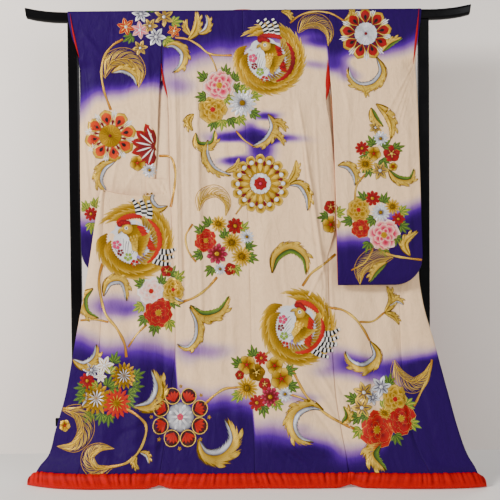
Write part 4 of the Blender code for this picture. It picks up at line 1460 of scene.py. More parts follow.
def plum(work, centre, radius, colours, heart=BRIGHT_GOLD, turn=0.3, edge=BRIGHT_GOLD, petals=5, over=0.0):
    """Five round petals and a spray of stamens."""
    petals_round(
        work, centre, petals, turn, radius * 0.12, radius, radius * 0.98, colours, PETAL_RISE, edge, 0.60, 7,
        over + 0.0003,
    )
    petals_round(
        work, centre, petals, turn, 0.0, radius * 0.5, radius * 0.12, [heart], 0.0004, None, 0.8, 4,
        over + 0.0013, between=0.5,
    )
    disc(work, centre, radius * 0.16, [heart], TOP_RISE, over + 0.0012, segments=8)


def star_flower(work, centre, radius, colours, edge, turn=0.3, petals=6):
    """Pointed petals with a midrib, as of a bellflower."""
    for k in range(petals):
        angle = turn + 2 * math.pi * k / petals
        petal(work, centre, angle, radius * 0.08, radius, radius * 0.52, colours, PETAL_RISE, edge, 0.42, 6)
        petal(
            work, centre, angle, radius * 0.1, radius * 0.75, radius * 0.1, [edge], 0.0004, None, 0.5, 4,
            0.0013,
        )
    disc(work, centre, radius * 0.16, [SILVER], TOP_RISE, 0.0012, segments=8)


def peony(work, centre, radius, colours, rim, heart, turn=0.2):
    """Rounds of broad ruffled petals, each round smaller and turned, about a tuft of stamens."""
    rounds = ((1.0, 7, 0.0), (0.76, 6, 0.0005), (0.50, 4, 0.0010))
    for ring, (reach, petals, lift) in enumerate(rounds):
        for k in range(petals):
            angle = turn + ring * 0.45 + 2 * math.pi * k / petals + 0.12 * math.sin(5.0 * k + ring)
            far = radius * reach * (1.0 + 0.07 * math.sin(3.0 * k + 2.0 * ring))
            middle = turned(centre, angle, far * 0.56)
            disc(
                work, middle, far * (0.44 + 0.04 * math.sin(k * 2.0)), colours, PETAL_RISE, 0.0003 + lift, 7,
                0.22, rim, 21,
            )
    disc(work, centre, radius * 0.20, [heart], TOP_RISE, 0.0018, 6, 0.3, None, 18)
    petals_round(
        work, centre, 9, turn, 0.0, radius * 0.27, radius * 0.05, [BRIGHT_GOLD], 0.0005, None, 0.8, 4, 0.0022
    )


def sprig(work, centre, length, angle, colours, vein, lobes=5):
    """A leaf of a few pointed lobes from one stalk, with a pale vein down each."""
    for k in range(lobes):
        lean = math.radians(angle + 30.0 * (k - (lobes - 1) / 2))
        reach = length * (1.0 - 0.20 * abs(k - (lobes - 1) / 2))
        petal(work, centre, lean, 0.0, reach, length * 0.30, colours, LEAF_RISE, None, 0.45, 6, 0.0002)
        petal(
            work, centre, lean, length * 0.08, reach * 0.9, length * 0.05, [vein], 0.0004, None, 0.5, 4,
            0.0009,
        )


def stroke(work, places, wide, colours, rise, floor, rows=6):
    """One long stitch group, tapered to a point."""
    line = smooth_path(places, rows)
    shares = np.linspace(0.0, 1.0, rows)
    half = wide / 2 * np.maximum(np.sin(np.pi * np.clip(0.16 + 0.84 * shares, 0, 1)) ** 0.7, 0.05)
    band(work, line, half, half, colours, rise, 3, None, "along", floor)


def scroll_leaf(work, path, wide, bend, inner=None):
    """A long curling leaf of pointed strokes that leave its midrib forwards, with a laid outline. bend is
    1 where its outer side lies to the left of the path, -1 to the right. inner is the thread of the inner
    half; a veined leaf shows the cloth between its strokes.
    """
    rows = LEAF_ROWS
    line = smooth_path(path, rows)
    side = left_of(line) * bend
    length = np.linalg.norm(np.diff(line, axis=0), axis=1).sum()
    shares = np.linspace(0.0, 1.0, rows)
    body = np.sin(np.pi * np.clip(shares, 0.02, 1.0) ** 0.78)
    outer, inside = wide * OUTER_HALF * body, wide * INNER_HALF * body
    open_work = inner == "veined"
    halves = ((1.0, outer, GOLD_RUN), (-1.0, inside, INNER_RUN.get(inner, GOLD_RUN)))
    if not open_work:
        for (way, reach, _), tint in zip(halves, ([OLD_GOLD], [INNER_BASE.get(inner, OLD_GOLD)])):
            middle = line[::3] + side[::3] * (way * reach[::3] * 0.46)[:, None]
            half = np.maximum(reach[::3] * 0.46, 0.0003)
            band(work, middle, half, half, tint, 0.0002, 3, None, "along", 0.0002)
    count = max(6, int(length / (OPEN_SPACING if open_work else FULL_SPACING)))
    for k in range(count):
        start = 1 + int((rows - 12) * k / (count - 1))
        mid, end = min(start + 5, rows - 1), min(start + 10, rows - 1)
        jag = 0.96 if open_work else 0.90 + 0.34 * ((k / 5.0) % 1.0)
        for way, reach, tint in halves:
            far = np.maximum(reach, 0.001)
            places = [
                line[start], line[mid] + side[mid] * way * far[mid] * 0.50,
                line[end] + side[end] * way * (far[end] if open_work else far[start + 6]) * jag,
            ]
            stroke(
                work, places, OPEN_STROKE if open_work else FULL_STROKE, tint, 0.0009,
                0.0004 + 0.0003 * (k % 2),
            )
    if not open_work:
        for share in LOBE_PLACES:
            row = int(share * rows)
            tangent = line[row + 1] - line[row]
            tangent = tangent / np.linalg.norm(tangent)
            foot = line[row] + side[row] * outer[row] * 0.45
            middle = foot + tangent * wide * 0.30 + side[row] * wide * 0.26
            tip = foot + tangent * wide * 0.74 + side[row] * wide * 0.36
            lobe = smooth_path([foot, middle, tip], 9)
            half = wide * 0.15 * np.sin(np.pi * np.linspace(0.12, 1.0, 9)) ** 0.8
            band(work, lobe, half, half, GOLD_RUN, 0.0009, 5, DEEP_GOLD, "along", 0.0006)
            cord(work, lobe, DEEP_GOLD, 0.0014, 0.0010)
    for way, reach, _ in halves:
        edge = line + side * (way * reach * (1.0 if open_work else 0.97))[:, None]
        cord(work, edge, GOLD if open_work else DEEP_GOLD, 0.0009, 0.0024 if open_work else 0.0016)
    cord(work, line, BRIGHT_GOLD if open_work else DEEP_GOLD, 0.0014, 0.0022)


def vine(work, path, wide):
    """A twisting stem of laid gold, darker down both sides."""
    length = sum(math.dist(a, b) for a, b in zip(path, path[1:]))
    line = smooth_path(path, max(8, int(length / 0.006)))
    taper = wide / 2 * (1.0 + 0.14 * np.sin(np.linspace(0.0, length * 90.0, len(line))))
    band(work, line, taper, taper, [VINE_GOLD, BRIGHT_GOLD, VINE_GOLD], VINE_RISE, 5, DEEP_GOLD)


def flower_wheel(work, centre, radius, petals, fill, heart, turn=0.0):
    """A round crest: drop-shaped petals in gold rims about a broad heart, with silver tufts between them."""
    wide = 2.0 * math.pi / petals
    for k in range(petals):
        angle = turn + 2 * math.pi * k / petals
        between = angle + math.pi / petals
        for lean in (-0.16, -0.08, 0.0, 0.08, 0.16):
            petal(
                work, centre, between + lean, radius * 0.66, radius * (1.04 - abs(lean)), radius * 0.07,
                [WHITE], 0.0005, None, 0.7, 4,
            )
        petal(
            work, centre, angle, radius * 0.36, radius * 1.0, radius * 0.72 * wide, GOLD_RUN, PETAL_RISE,
            DEEP_GOLD, 0.62, 9,
        )
        petal(
            work, centre, angle, radius * 0.40, radius * 0.90, radius * 0.50 * wide, fill, PETAL_RISE, None,
            0.62, 8, 0.0012,
        )
        petal(
            work, centre, angle, radius * 0.50, radius * 0.72, radius * 0.17 * wide, [BLACK], 0.0004, None,
            0.6, 5, 0.0022,
        )
        petal(
            work, centre, between, radius * 0.40, radius * 0.64, radius * 0.10, [CRIMSON], 0.0004, None, 0.6,
            4, 0.0012,
        )
    disc(work, centre, radius * 0.43, heart, TOP_RISE, 0.0010, 0, 0, DEEP_GOLD, 28)
    petals_round(
        work, centre, 20, turn, radius * 0.06, radius * 0.40, radius * 0.045, [heart[-1]], 0.0004, None, 0.6,
        4, 0.0024,
    )
    disc(work, centre, radius * 0.06, [CRIMSON], TOP_RISE, 0.0026, segments=8)


def shield_wheel(work, centre, radius, petals, turn=0.0):
    """A round crest of heart-shaped petals worked in gold outline, each with a red fan, about a silver
    heart.
    """
    for k in range(petals):
        angle = turn + 2 * math.pi * k / petals
        middle = turned(centre, angle, radius * 0.76)
        disc(work, middle, radius * 0.28, [CRIMSON, BLACK], 0.0004, 0.0002, 3, 0.12, GOLD, 21)
        cord(work, ring_of(middle, radius * 0.27), BRIGHT_GOLD, 0.0008, 0.0028)
        for lean in (-0.34, -0.17, 0.0, 0.17, 0.34):
            foot = turned(centre, angle, radius * 0.56)
            petal(
                work, foot, angle + lean * 2.2, 0.0, radius * 0.36, radius * 0.10, [RED, ORANGE], 0.0008,
                None, 0.7, 5, 0.0008,
            )
        spur = angle + math.pi / petals
        star_flower(work, turned(centre, spur, radius * 1.04), radius * 0.07, [GOLD], GOLD, spur, 5)
    disc(
        work, centre, radius * 0.48, [WHITE, SILVER, DULL_SILVER], TOP_RISE, 0.0009, 8, 0.10, DULL_SILVER, 32
    )
    petals_round(
        work, centre, 8, turn, radius * 0.05, radius * 0.46, radius * 0.16, [DULL_SILVER, SILVER], 0.0005,
        None, 0.7, 5, 0.0022,
    )
    plum(work, centre, radius * 0.12, [PINK], GOLD, over=0.0028)


def ring_of(centre, radius, count=21):
    angles = np.linspace(0.0, 2 * np.pi, count)
    return np.stack([centre[0] + radius * np.cos(angles), centre[1] + radius * np.sin(angles)], axis=-1)


def scalloped_wheel(work, centre, radius):
    """A round crest: a gold scalloped rim, silver and red drops, a gold round, a white round and a red
    flower.
    """
    disc(work, centre, radius * 0.80, [GOLD], 0.0004, 0.0002, segments=40)
    count = 16
    for k in range(count):
        angle = 2 * math.pi * k / count
        middle = turned(centre, angle, radius * 0.86)
        disc(
            work, middle, radius * 0.165, [DEEP_GOLD, GOLD, BRIGHT_GOLD], PETAL_RISE, 0.0004, 5, 0.12,
            DEEP_GOLD, 16,
        )
        disc(
            work, turned(centre, angle, radius * 0.78), radius * 0.075, [WHITE, SILVER], 0.0008, 0.0014,
            segments=10,
        )
        between = angle + math.pi / count
        petal(
            work, centre, between, radius * 0.60, radius * 0.80, radius * 0.11, [CRIMSON], 0.0006, None, 0.6,
            5, 0.0016,
        )
        petal(
            work, centre, angle, radius * 0.30, radius * 0.72, radius * 0.17, GOLD_RUN, PETAL_RISE, DEEP_GOLD,
            0.7, 6, 0.0010,
        )
    disc(work, centre, radius * 0.36, [DULL_SILVER, SILVER, WHITE], 0.0006, 0.0014, 12, 0.08, DULL_SILVER, 36)
    many_petalled(work, centre, radius * 0.24, [CRIMSON, RED], 8, PINK, 0.2, 1.4, None, 0.0022)


def plume(work, at, radius, start, sweep, count, reach, colours, wide, floor):
    """Strokes laid round an arc, each leaving the inner radius and trailing to the outer one. Angles in
    degrees.
    """
    inner, outer = reach
    trail = math.copysign(30.0, sweep)
    for k in range(count):
        angle = start + sweep * k / max(count - 1, 1)
        ragged = 1.0 + 0.035 * math.sin(k * 2.7)
        places = [
            at(angle, inner), at(angle + trail * 0.42, inner + (outer - inner) * 0.62),
            at(angle + trail, outer * ragged),
        ]
        stroke(work, places, radius * wide, colours, 0.0009, floor + 0.00012 * (k % 3), 7)


def saw_band(work, at, radius, start, sweep, far, wide, colours, floor):
    """A curved band of feathers with saw edges."""
    rows = 41
    shares = np.linspace(0.0, 1.0, rows)
    line = np.array([at(start + sweep * share, far) for share in shares])
    teeth = 0.78 + 0.5 * ((shares * 10.0) % 1.0)
    half = radius * wide / 2 * teeth * np.sin(np.pi * np.clip(shares, 0.03, 0.97)) ** 0.4
    band(work, line, half, half, colours, 0.0010, 5, None, "across", floor)


def bird_roundel(work, centre, radius, facing, turn, stripes, trim):
    """A bird in a round of its own gold tail feathers, over silver scrolls and small bright flowers.
    facing is 1 where it looks left, -1 right. stripes says where its barred feathers leave the round, in
    degrees.
    """

    def at(angle, far):
        """A place by its angle in the round and its distance as a share of the radius."""
        bearing = math.radians(turn + facing * angle)
        return np.array(
            [centre[0] + far * radius * math.cos(bearing), centre[1] + far * radius * math.sin(bearing)]
        )

    def spot(right, up):
        return at(math.degrees(math.atan2(up, right)), math.hypot(right, up))

    disc(work, tuple(spot(-0.10, -0.04)), radius * 0.60, [WHITE, SILVER], 0.0003, 0.0002, 9, 0.1, None, 36)
    for k in range(9):
        foot = spot(-0.45 + 0.05 * k, -0.30 + 0.04 * math.sin(k * 2.0))
        bend = spot(-0.52 + 0.09 * k, -0.10 + 0.10 * math.cos(k * 1.7))
        tip = spot(-0.38 + 0.06 * k, 0.10 + 0.08 * math.sin(k * 1.3))
        cord(work, smooth_path([foot, bend, tip], 9), DULL_SILVER, 0.0008, 0.0026)
    plume(work, at, radius, 150, 322, 58, (0.72, 1.02), RISING_GOLD, 0.078, 0.0003)
    plume(work, at, radius, 165, 300, 46, (0.60, 0.86), RISING_GOLD, 0.075, 0.0008)
    plume(work, at, radius, -96, 140, 16, (0.46, 0.72), [OLD_GOLD, BRIGHT_GOLD], 0.070, 0.0012)
    for start in stripes:
        for k in range(3):
            angle = start + 11.0 * k
            line = smooth_path([at(angle, 0.70), at(angle + 5, 0.90), at(angle + 13, 1.12)], 19)
            for part in range(9):
                tint = [BLACK] if part % 2 else [WHITE]
                half = radius * 0.088 * (1.0 - 0.07 * part)
                band(work, line[2 * part : 2 * part + 3], half, half, tint, 0.0006, 3, None, "along", 0.0022)
    saw_band(work, at, radius, 120, -62, 0.66, 0.15, trim[0], 0.0022)
    saw_band(work, at, radius, 44, -118, 0.66, 0.13, trim[1], 0.0022)
    for right, up, size, colour in (
        (-0.46, 0.02, 0.13, PINK), (-0.26, -0.36, 0.12, BRIGHT_GREEN), (0.06, -0.44, 0.12, LILAC),
        (-0.14, -0.58, 0.12, RED), (-0.42, -0.20, 0.10, CRIMSON),
    ):
        plum(work, tuple(spot(right, up)), radius * size, [colour, colour], WHITE, up, SILVER)
    body = smooth_path([spot(-0.06, 0.34), spot(0.10, 0.16), spot(0.08, -0.08), spot(-0.06, -0.26)], 18)
    full = radius * 0.24 * np.sin(np.pi * np.linspace(0.16, 0.94, 18)) ** 0.7
    band(work, body, full, full, RISING_GOLD, 0.0018, 7, None, "along", 0.0016)
    for k in range(5):
        for across in (-0.08, 0.0, 0.08):
            start = spot(0.02 + across + 0.02 * k, 0.16 - 0.08 * k)
            stroke(
                work, [start, spot(0.00 + across + 0.02 * k, 0.06 - 0.08 * k)], radius * 0.05, GOLD_RUN,
                0.0006, 0.0034, 4,
            )
    for k in range(9):
        foot = spot(0.16 + 0.016 * k, 0.34 - 0.075 * k)
        stroke(
            work, [foot, spot(0.36 + 0.02 * k, 0.26 - 0.080 * k)], radius * 0.085, trim[k % 2][::-1], 0.0008,
            0.0030, 5,
        )
    for k in range(7):
        foot = spot(0.10 - 0.01 * k, 0.04 - 0.05 * k)
        tip = spot(0.50 - 0.06 * k, 0.16 - 0.10 * k)
        middle = spot(0.32 - 0.04 * k, 0.02 - 0.07 * k)
        stroke(work, [foot, middle, tip], radius * 0.11, RISING_GOLD, 0.0009, 0.0036 + 0.0001 * k, 7)
    head = tuple(spot(-0.10, 0.36))
    disc(work, head, radius * 0.15, [BRIGHT_GOLD, GOLD], 0.0014, 0.0032, 0, 0, DEEP_GOLD, 18)
    stroke(
        work, [spot(-0.18, 0.40), spot(-0.30, 0.36), spot(-0.36, 0.28)], radius * 0.09,
        [BRIGHT_GOLD, OLD_GOLD], 0.0008, 0.0036, 6,
    )
    eye = tuple(spot(-0.12, 0.38))
    disc(work, eye, radius * 0.045, [WHITE], 0.0005, 0.0046, segments=10)
    disc(work, eye, radius * 0.024, [BLACK], 0.0005, 0.0052, segments=8)
    for k in range(4):
        crest = spot(-0.26 + 0.07 * k, 0.52 + 0.03 * math.sin(k * 1.5))
        disc(work, tuple(crest), radius * 0.075, [RED, CRIMSON], 0.0008, 0.0034, segments=12)


# Embroidery: where the photograph shows each motif, in its pixels

PIXEL = 0.00375

# Stems: width in millimetres, then the places along each
VINES = [
    (8, (125, 39.5), (115, 45), (106, 57), (103, 71), (105, 89), (112, 110)),
    (7, (177, 37.6), (190, 39.5), (200, 45), (210.5, 53.5), (224.5, 55.5), (233.5, 55.5)),
    (5, (210.5, 53.5), (216, 64), (219, 73)),
    (7, (292, 23), (300, 16.6), (316.5, 11.5), (334, 14), (346, 21)),
    (6, (237, 131), (245, 140), (255, 146.7)),
    (6, (365, 174.7), (357, 185), (354, 205)),
    (8, (377, 249), (390.5, 255), (405.8, 257.8), (420.5, 259.7)),
    (5, (243.7, 204), (236, 214.4)),
    (8, (217, 277), (206.7, 288.4), (194, 297.3), (182.4, 301.8)),
    (8, (302, 286), (311.4, 273), (325, 263), (335.7, 254)),
    (8, (329, 307.6), (342, 310), (354.8, 319), (362.4, 329), (368.8, 340.7)),
    (6, (358.6, 321.6), (371.4, 321.6), (384, 312.6)),
    (9, (103.4, 263), (100, 277), (101, 295), (106, 314), (117.4, 329), (124.4, 344.5), (125.7, 357)),
    (6, (146.7, 324), (136.5, 334), (127.6, 347)),
    (6, (80.4, 320), (93, 319), (108.5, 321.6)),
    (7, (58.4, 410), (80.2, 407.7)),
    (9, (125, 408.9), (137.6, 415.8), (144.5, 426), (142.2, 441), (135.3, 453.7), (125, 462.8),
     (108.9, 467.4), (95, 468.6)),
    (8, (203.4, 404.3), (211.5, 396.3), (223, 388.8), (236.7, 387)),
    (9, (289.6, 365.3), (296.4, 380.2), (305.6, 396.3), (318.3, 408.9), (335.5, 420.4), (352.7, 428.4)),
    (6, (288.4, 394), (298.7, 396.8), (310, 402)),
    (8, (430.9, 359.5), (428.7, 371.5), (422.2, 386.6), (412.4, 406)),
    (8, (159.5, 155.6), (171, 157), (176, 169.6), (175.4, 185), (173.5, 196), (171, 207)),
    (6, (150, 281), (162, 286), (172, 296)),
    (6, (281, 340), (270, 350), (262, 356)),
    (6, (196, 262), (188, 250), (186, 236), (193, 224)),
    (6, (372, 249), (364, 262), (350, 270)),
]

# Scroll leaves: width in millimetres, inner half, then the places from stalk to tip
LEAVES = [
    (46, "veined", (106, 78), (113.6, 62), (129, 59), (141, 71), (140, 88)),
    (26, "silver", (113, 73), (124, 70), (135, 76), (139, 86)),
    (24, "plain", (190, 40), (197, 30), (199, 20), (198, 11)),
    (20, "silver", (200, 34), (208, 29), (210, 22), (208, 15)),
    (16, "plain", (193, 36), (188, 27), (189, 19)),
    (28, "silver", (166, 47), (175, 45), (185, 54), (182, 66), (174, 73)),
    (30, "silver", (116, 161), (104, 168), (100, 180), (107, 192)),
    (22, "plain", (195, 114), (190, 122), (194, 131)),
    (26, "green", (197, 133), (199, 144), (213, 143), (216, 130)),
    (26, "silver", (209, 140), (207, 153), (213, 167), (232, 176)),
    (16, "plain", (226, 172), (236, 166), (240, 158)),
    (16, "plain", (283, 11), (290, 14), (294, 21)),
    (40, "veined", (300, 33), (309, 24), (322, 24), (330, 33), (330, 46)),
    (22, "green", (384, 52), (392, 44), (404, 38)),
    (30, "silver", (378, 57), (383, 72), (374, 84), (360, 85), (351, 76), (350, 67)),
    (16, "plain", (362, 84), (366, 91), (367, 98)),
    (28, "plain", (377, 104), (388, 116), (392, 128), (391, 140)),
    (24, "green", (372, 108), (376, 118), (384, 127)),
    (28, "silver", (269, 114), (274, 127), (267, 140), (253, 147)),
    (20, "plain", (271, 122), (281, 124), (287, 132)),
    (18, "plain", (270, 132), (280, 137), (285, 146)),
    (22, "plain", (288, 184), (295, 173), (297, 160)),
    (26, "silver", (289, 185), (300, 185), (307, 195), (308, 211)),
    (26, "silver", (338, 166), (348, 167), (354, 175), (355, 186)),
    (26, "green", (388, 170), (398, 179), (410, 179), (414, 169)),
    (34, "veined", (199, 211), (204, 197), (217, 193), (227, 203), (226, 216)),
    (34, "green", (272, 273), (277, 257), (291, 249), (304, 258), (306, 275)),
    (24, "plain", (409, 256), (404, 244), (417, 231)),
    (52, "veined", (392, 257), (374, 260), (361, 270), (359, 284)),
    (24, "green", (386, 262), (376, 270), (368, 282)),
    (34, "green", (190, 305), (203, 315), (219, 311), (229, 296)),
    (26, "silver", (189, 307), (197, 323), (195, 340), (186, 348), (176, 344)),
    (28, "green", (94, 288), (85, 298), (87, 311), (99, 318)),
    (28, "silver", (104, 296), (111, 282), (121, 281), (127, 301)),
    (32, "silver", (369, 341), (375, 356), (362, 366), (349, 361), (344, 351)),
    (24, "plain", (384, 313), (391, 301), (387, 286)),
    (20, "silver", (388, 306), (398, 301), (404, 305)),
    (18, "plain", (384, 313), (393, 317), (399, 325)),
    (28, "silver", (168, 206), (158, 208), (151, 199), (156, 190), (165, 191)),
    (28, "silver", (71, 359), (84, 364), (94, 356), (96, 344)),
    (40, "silver", (132, 406), (150, 403), (157, 389), (151, 369)),
    (46, "veined", (60, 411), (77, 416), (81, 432), (72, 446), (53, 449)),
    (36, "veined", (110, 468), (92, 469), (87, 458), (97, 449), (112, 449)),
    (16, "plain", (135, 456), (133, 463), (137, 470)),
    (16, "silver", (138, 452), (145, 456), (147, 464)),
    (44, "silver", (197, 439), (204, 453), (219, 454), (231, 440), (224, 418)),
    (36, "silver", (322, 410), (309, 406), (296, 411), (291, 424), (297, 437), (312, 442)),
    (42, "veined", (393, 360), (399, 375), (412, 383), (424, 374), (429, 363)),
    (40, "green", (380, 441), (371, 452), (384, 470)),
    (22, "silver", (184, 302), (176, 300), (170, 292), (172, 284)),
    (22, "plain", (346, 21), (353, 15), (352, 7)),
    (22, "silver", (80, 408), (86, 400), (85, 392)),
    (22, "green", (340, 424), (346, 415), (342, 406)),
    (22, "plain", (244, 204), (250, 198), (249, 190)),
]

MUM_GOLD, MUM_SILVER = [DEEP_GOLD, GOLD, BRIGHT_GOLD], [DULL_SILVER, SILVER, SILVER]

# Flowers: kind, x, y, radius
FLOWERS = [
    ("silver_star", 143, 14, 8), ("gold_star", 166, 17, 9), ("silver_star", 158, 37, 9),
    ("gold_star", 142, 48, 7),
    ("orange_star", 128, 27, 8), ("pink_star", 142, 30, 8), ("orange_star", 176, 31, 6),
    ("gold_star", 152, 26, 7),
    ("blush_peony", 220.7, 85.5, 14), ("gold_peony", 214, 109.7, 12.7), ("silver_mum", 243.7, 103, 13),
    ("red_aster", 362.4, 148.6, 6.4), ("red_plum", 391.8, 154, 7.6), ("silver_mum", 381, 139, 7),
    ("gold_mum", 365.6, 164.5, 8), ("gold_plum", 374, 154, 6.5), ("gold_star", 380, 171, 8.5),
    ("gold_plum", 393, 167, 4), ("gold_star", 376, 128, 6),
    ("red_aster", 372, 198.5, 7), ("gold_peony", 358, 210, 10.5), ("silver_mum", 380, 212.5, 8.5),
    ("gold_mum", 391.8, 206.8, 7), ("red_aster", 397.5, 219, 6), ("red_peony", 360, 228, 8.5),
    ("blush_peony", 383, 235, 14), ("red_plum", 331, 207, 6), ("gold_plum", 331, 224.6, 8),
    ("gold_mum", 219, 224, 7.5), ("red_aster", 235.4, 226, 7.5), ("red_peony", 206, 240.6, 10),
    ("silver_mum", 247, 236.8, 6.5), ("gold_mum", 232, 242.5, 9), ("crimson_daisy", 217, 253.7, 9.5),
    ("gold_mum", 241.8, 256.5, 9.5), ("red_plum", 230, 269, 5.5), ("silver_mum", 220, 269, 5.5),
    ("gold_peony", 173, 289.7, 10), ("red_plum", 166.5, 270.6, 5.5), ("white_peony", 151, 291, 11.5),
    ("red_peony", 158, 312.6, 13), ("red_aster", 90.6, 213.8, 6.4),
    ("white_star", 103.7, 365.3, 8.5), ("silver_star", 90.5, 370, 7.5), ("white_star", 99.7, 376.6, 5.5),
    ("red_aster", 86, 380.8, 7), ("dark_mum", 123.2, 375.6, 11.5), ("dark_mum", 95, 399, 14),
    ("orange_mum", 115.2, 403, 13), ("gold_plum", 245.9, 364.7, 8), ("red_aster", 260.3, 357.8, 6),
    ("gold_plum", 273.5, 365.3, 7.5), ("dark_plum", 255.5, 372.4, 7.5), ("gold_plum", 280.2, 378.5, 9.5),
    ("gold_mum", 246, 388, 9.5), ("crimson_daisy", 268.9, 396.3, 8.5), ("red_aster", 255.5, 402.6, 7),
    ("silver_mum", 283.7, 393.8, 6.5), ("red_plum", 238.6, 374.9, 4), ("red_plum", 263.6, 383.5, 5.5),
    ("gold_star", 362, 391.5, 9), ("gold_star", 359.8, 407, 9), ("silver_star", 379.8, 386.6, 9.5),
    ("silver_star", 371.3, 397, 6.5), ("gold_peony", 393.4, 399, 11.5), ("red_peony", 399.4, 418, 12.5),
    ("orange_peony", 374.5, 429, 14.5), ("gold_mum", 383, 413, 6), ("red_leaf_flower", 155.5, 146, 21),
    ("gold_plum", 138, 163, 7), ("silver_mum", 150, 170, 7), ("gold_plum", 62, 427, 5),
]

# Green sprigs: the middle of each group of flowers, then the places they stand at
SPRIGS = [
    ((224, 96), (227, 71), (204, 76.5), (237, 76.5), (240, 88), (203, 97), (245, 90), (257, 96), (214, 125),
     (223, 124), (233, 122), (242, 120), (256, 114), (230, 99)),
    ((150, 25), (131, 38), (170, 42), (152, 8), (178, 22)),
    ((378, 153), (386, 145), (372, 142), (384, 163), (368, 172), (398, 148), (366, 156)),
    ((377, 217), (362, 197), (384, 199), (403, 211), (403, 227), (347, 221), (367, 246), (383, 250),
     (396, 240), (370, 221)),
    ((225, 247), (208, 222), (200, 229.7), (243.7, 227), (250, 246), (210, 270.6), (198, 255), (236, 270),
     (225, 234), (252, 258)),
    ((160, 294), (172, 272), (179, 276), (139, 307), (143, 320), (154, 329), (169, 325), (174, 303),
     (140, 283), (161, 280)),
    ((90.6, 214), (96, 203), (90.6, 227), (84, 206)),
    ((106, 387), (80, 388), (79, 398), (92, 387), (114.6, 358), (108, 382), (113, 389), (137.6, 374),
     (136, 386), (131, 394), (129, 403), (99, 418), (87, 417), (107, 419), (110, 369)),
    ((258, 380), (236, 362), (252, 352), (290, 370), (292, 386), (236, 396), (262, 410), (276, 404)),
    ((379, 409), (353, 418), (361, 416), (356, 432), (384, 404), (408, 404), (395, 437.6), (388, 380),
     (350, 398), (412, 424)),
    ((331, 216), (339, 212), (324, 217)),
]

WHEELS = [
    ((111, 135.8), 26.5, 8, "orange"),
    ((367.6, 33.8), 26.5, 9, "red"),
]

SHIELD_WHEEL = ((178.9, 416.9), 27.0)
SCALLOPED_WHEEL = ((261, 183.7), 29.0)

# Birds: middle, radius, which way each faces, turn of the round, where barred feathers leave it, trim
BIRDS = [
    ((271, 59), 36, 1, 0, (72,), ([CRIMSON, RED, RED], [RED, CRIMSON, RED])),
    ((135, 241), 38, 1, 14, (44, -60), ([ORANGE, RED], [ORANGE, ORANGE])),
    ((297.5, 327), 37, 1, -24, (-34, -14), ([ORANGE, ORANGE], [RED, ORANGE])),
]


def flower(work, kind, x, y, size):
    """One flower of a named kind at a place seen in the photograph."""
    centre = tuple(spots((x, y)))
    radius = FLOWER_FULL * size * PIXEL
    turn = (x * 0.37 + y * 0.23) % 1.2
    if kind.endswith("_mum"):
        colours = {
            "gold_mum": MUM_GOLD, "silver_mum": MUM_SILVER, "dark_mum": [DEEP_GOLD, OLD_GOLD, GOLD],
            "orange_mum": [RED, ORANGE, ORANGE],
        }[kind]
        many_petalled(work, centre, radius, colours, 12 if size < 8 else 16, OLD_GOLD, turn)
        if kind in ("dark_mum", "orange_mum"):
            inner = [DULL_SILVER, SILVER, WHITE] if kind == "dark_mum" else RISING_GOLD
            petals_round(
                work, centre, INNER_PETALS, turn, 0.0, radius * 0.52, radius * 0.075, inner, 0.0006, None,
                0.6, 6, 0.0022,
            )
    elif kind in ("red_aster", "crimson_daisy"):
        colours = [CRIMSON, RED] if kind == "red_aster" else [CRIMSON, CRIMSON, PINK]
        many_petalled(work, centre, radius, colours, 9, GOLD, turn, 1.1, DEEP_GOLD if size > 7 else None)
    elif kind.endswith("_plum"):
        colours = {
            "red_plum": [CRIMSON, RED], "gold_plum": MUM_GOLD, "dark_plum": [DEEP_GOLD, OLD_GOLD]
        }[kind]
        plum(work, centre, radius, colours, RED if kind == "gold_plum" else BRIGHT_GOLD, turn, DEEP_GOLD)
    elif kind.endswith("_star"):
        colours, edge = {
            "gold_star": ([OLD_GOLD, BRIGHT_GOLD], INK), "silver_star": ([DULL_SILVER, SILVER, WHITE], INK),
            "white_star": ([WHITE, WHITE], GOLD), "orange_star": ([RED, ORANGE], BRIGHT_GOLD),
            "pink_star": ([PINK, BLUSH], SILVER),
        }[kind]
        star_flower(work, centre, radius, colours, edge, turn)
    elif kind == "red_leaf_flower":
        for angle in (112, 140, 168, 196, 224, 250):
            bearing = math.radians(angle)
            petal(
                work, centre, bearing, 0.0, radius, radius * 0.46, [CRIMSON, CRIMSON, RED], PETAL_RISE, GOLD,
                0.5, 8
            )
            petal(
                work, centre, bearing, radius * 0.15, radius * 0.8, radius * 0.07, [WHITE], 0.0004, None, 0.5,
                5, 0.0014,
            )
    else:
        colours, rim, heart = {
            "gold_peony": (RISING_GOLD, DEEP_GOLD, RED),
            "red_peony": ([CRIMSON, RED, RED], BRIGHT_GOLD, GOLD),
            "blush_peony": ([RED, PINK, BLUSH, WHITE], RED, GOLD),
            "white_peony": ([BLUSH, WHITE], SILVER, RED),
            "orange_peony": ([CRIMSON, RED, ORANGE], BRIGHT_GOLD, GOLD),
        }[kind]
        peony(work, centre, radius, colours, rim, heart, turn)


def scrolls(work, vines, leaves):
    for wide, *path in vines:
        vine(work, spots(path), wide / 1000.0)
    for wide, inner, *path in leaves:
        path = spots(path)
        steps = np.diff(path, axis=0)
        turning = (steps[:-1, 0] * steps[1:, 1] - steps[:-1, 1] * steps[1:, 0]).sum()
        bend = -1.0 if turning > 0 else 1.0
        scroll_leaf(work, path, LEAF_FULL * wide / 1000.0, bend, inner)


def wheels(work, places):
    for middle, size, petals, fill in places:
        colours = [ORANGE, ORANGE, PALE_ORANGE] if fill == "orange" else [CRIMSON, RED]
        heart = [DEEP_GOLD, OLD_GOLD, GOLD] if fill == "orange" else [DULL_SILVER, SILVER, SILVER]
        flower_wheel(work, spots(middle), size * PIXEL, petals, colours, heart, 0.2)


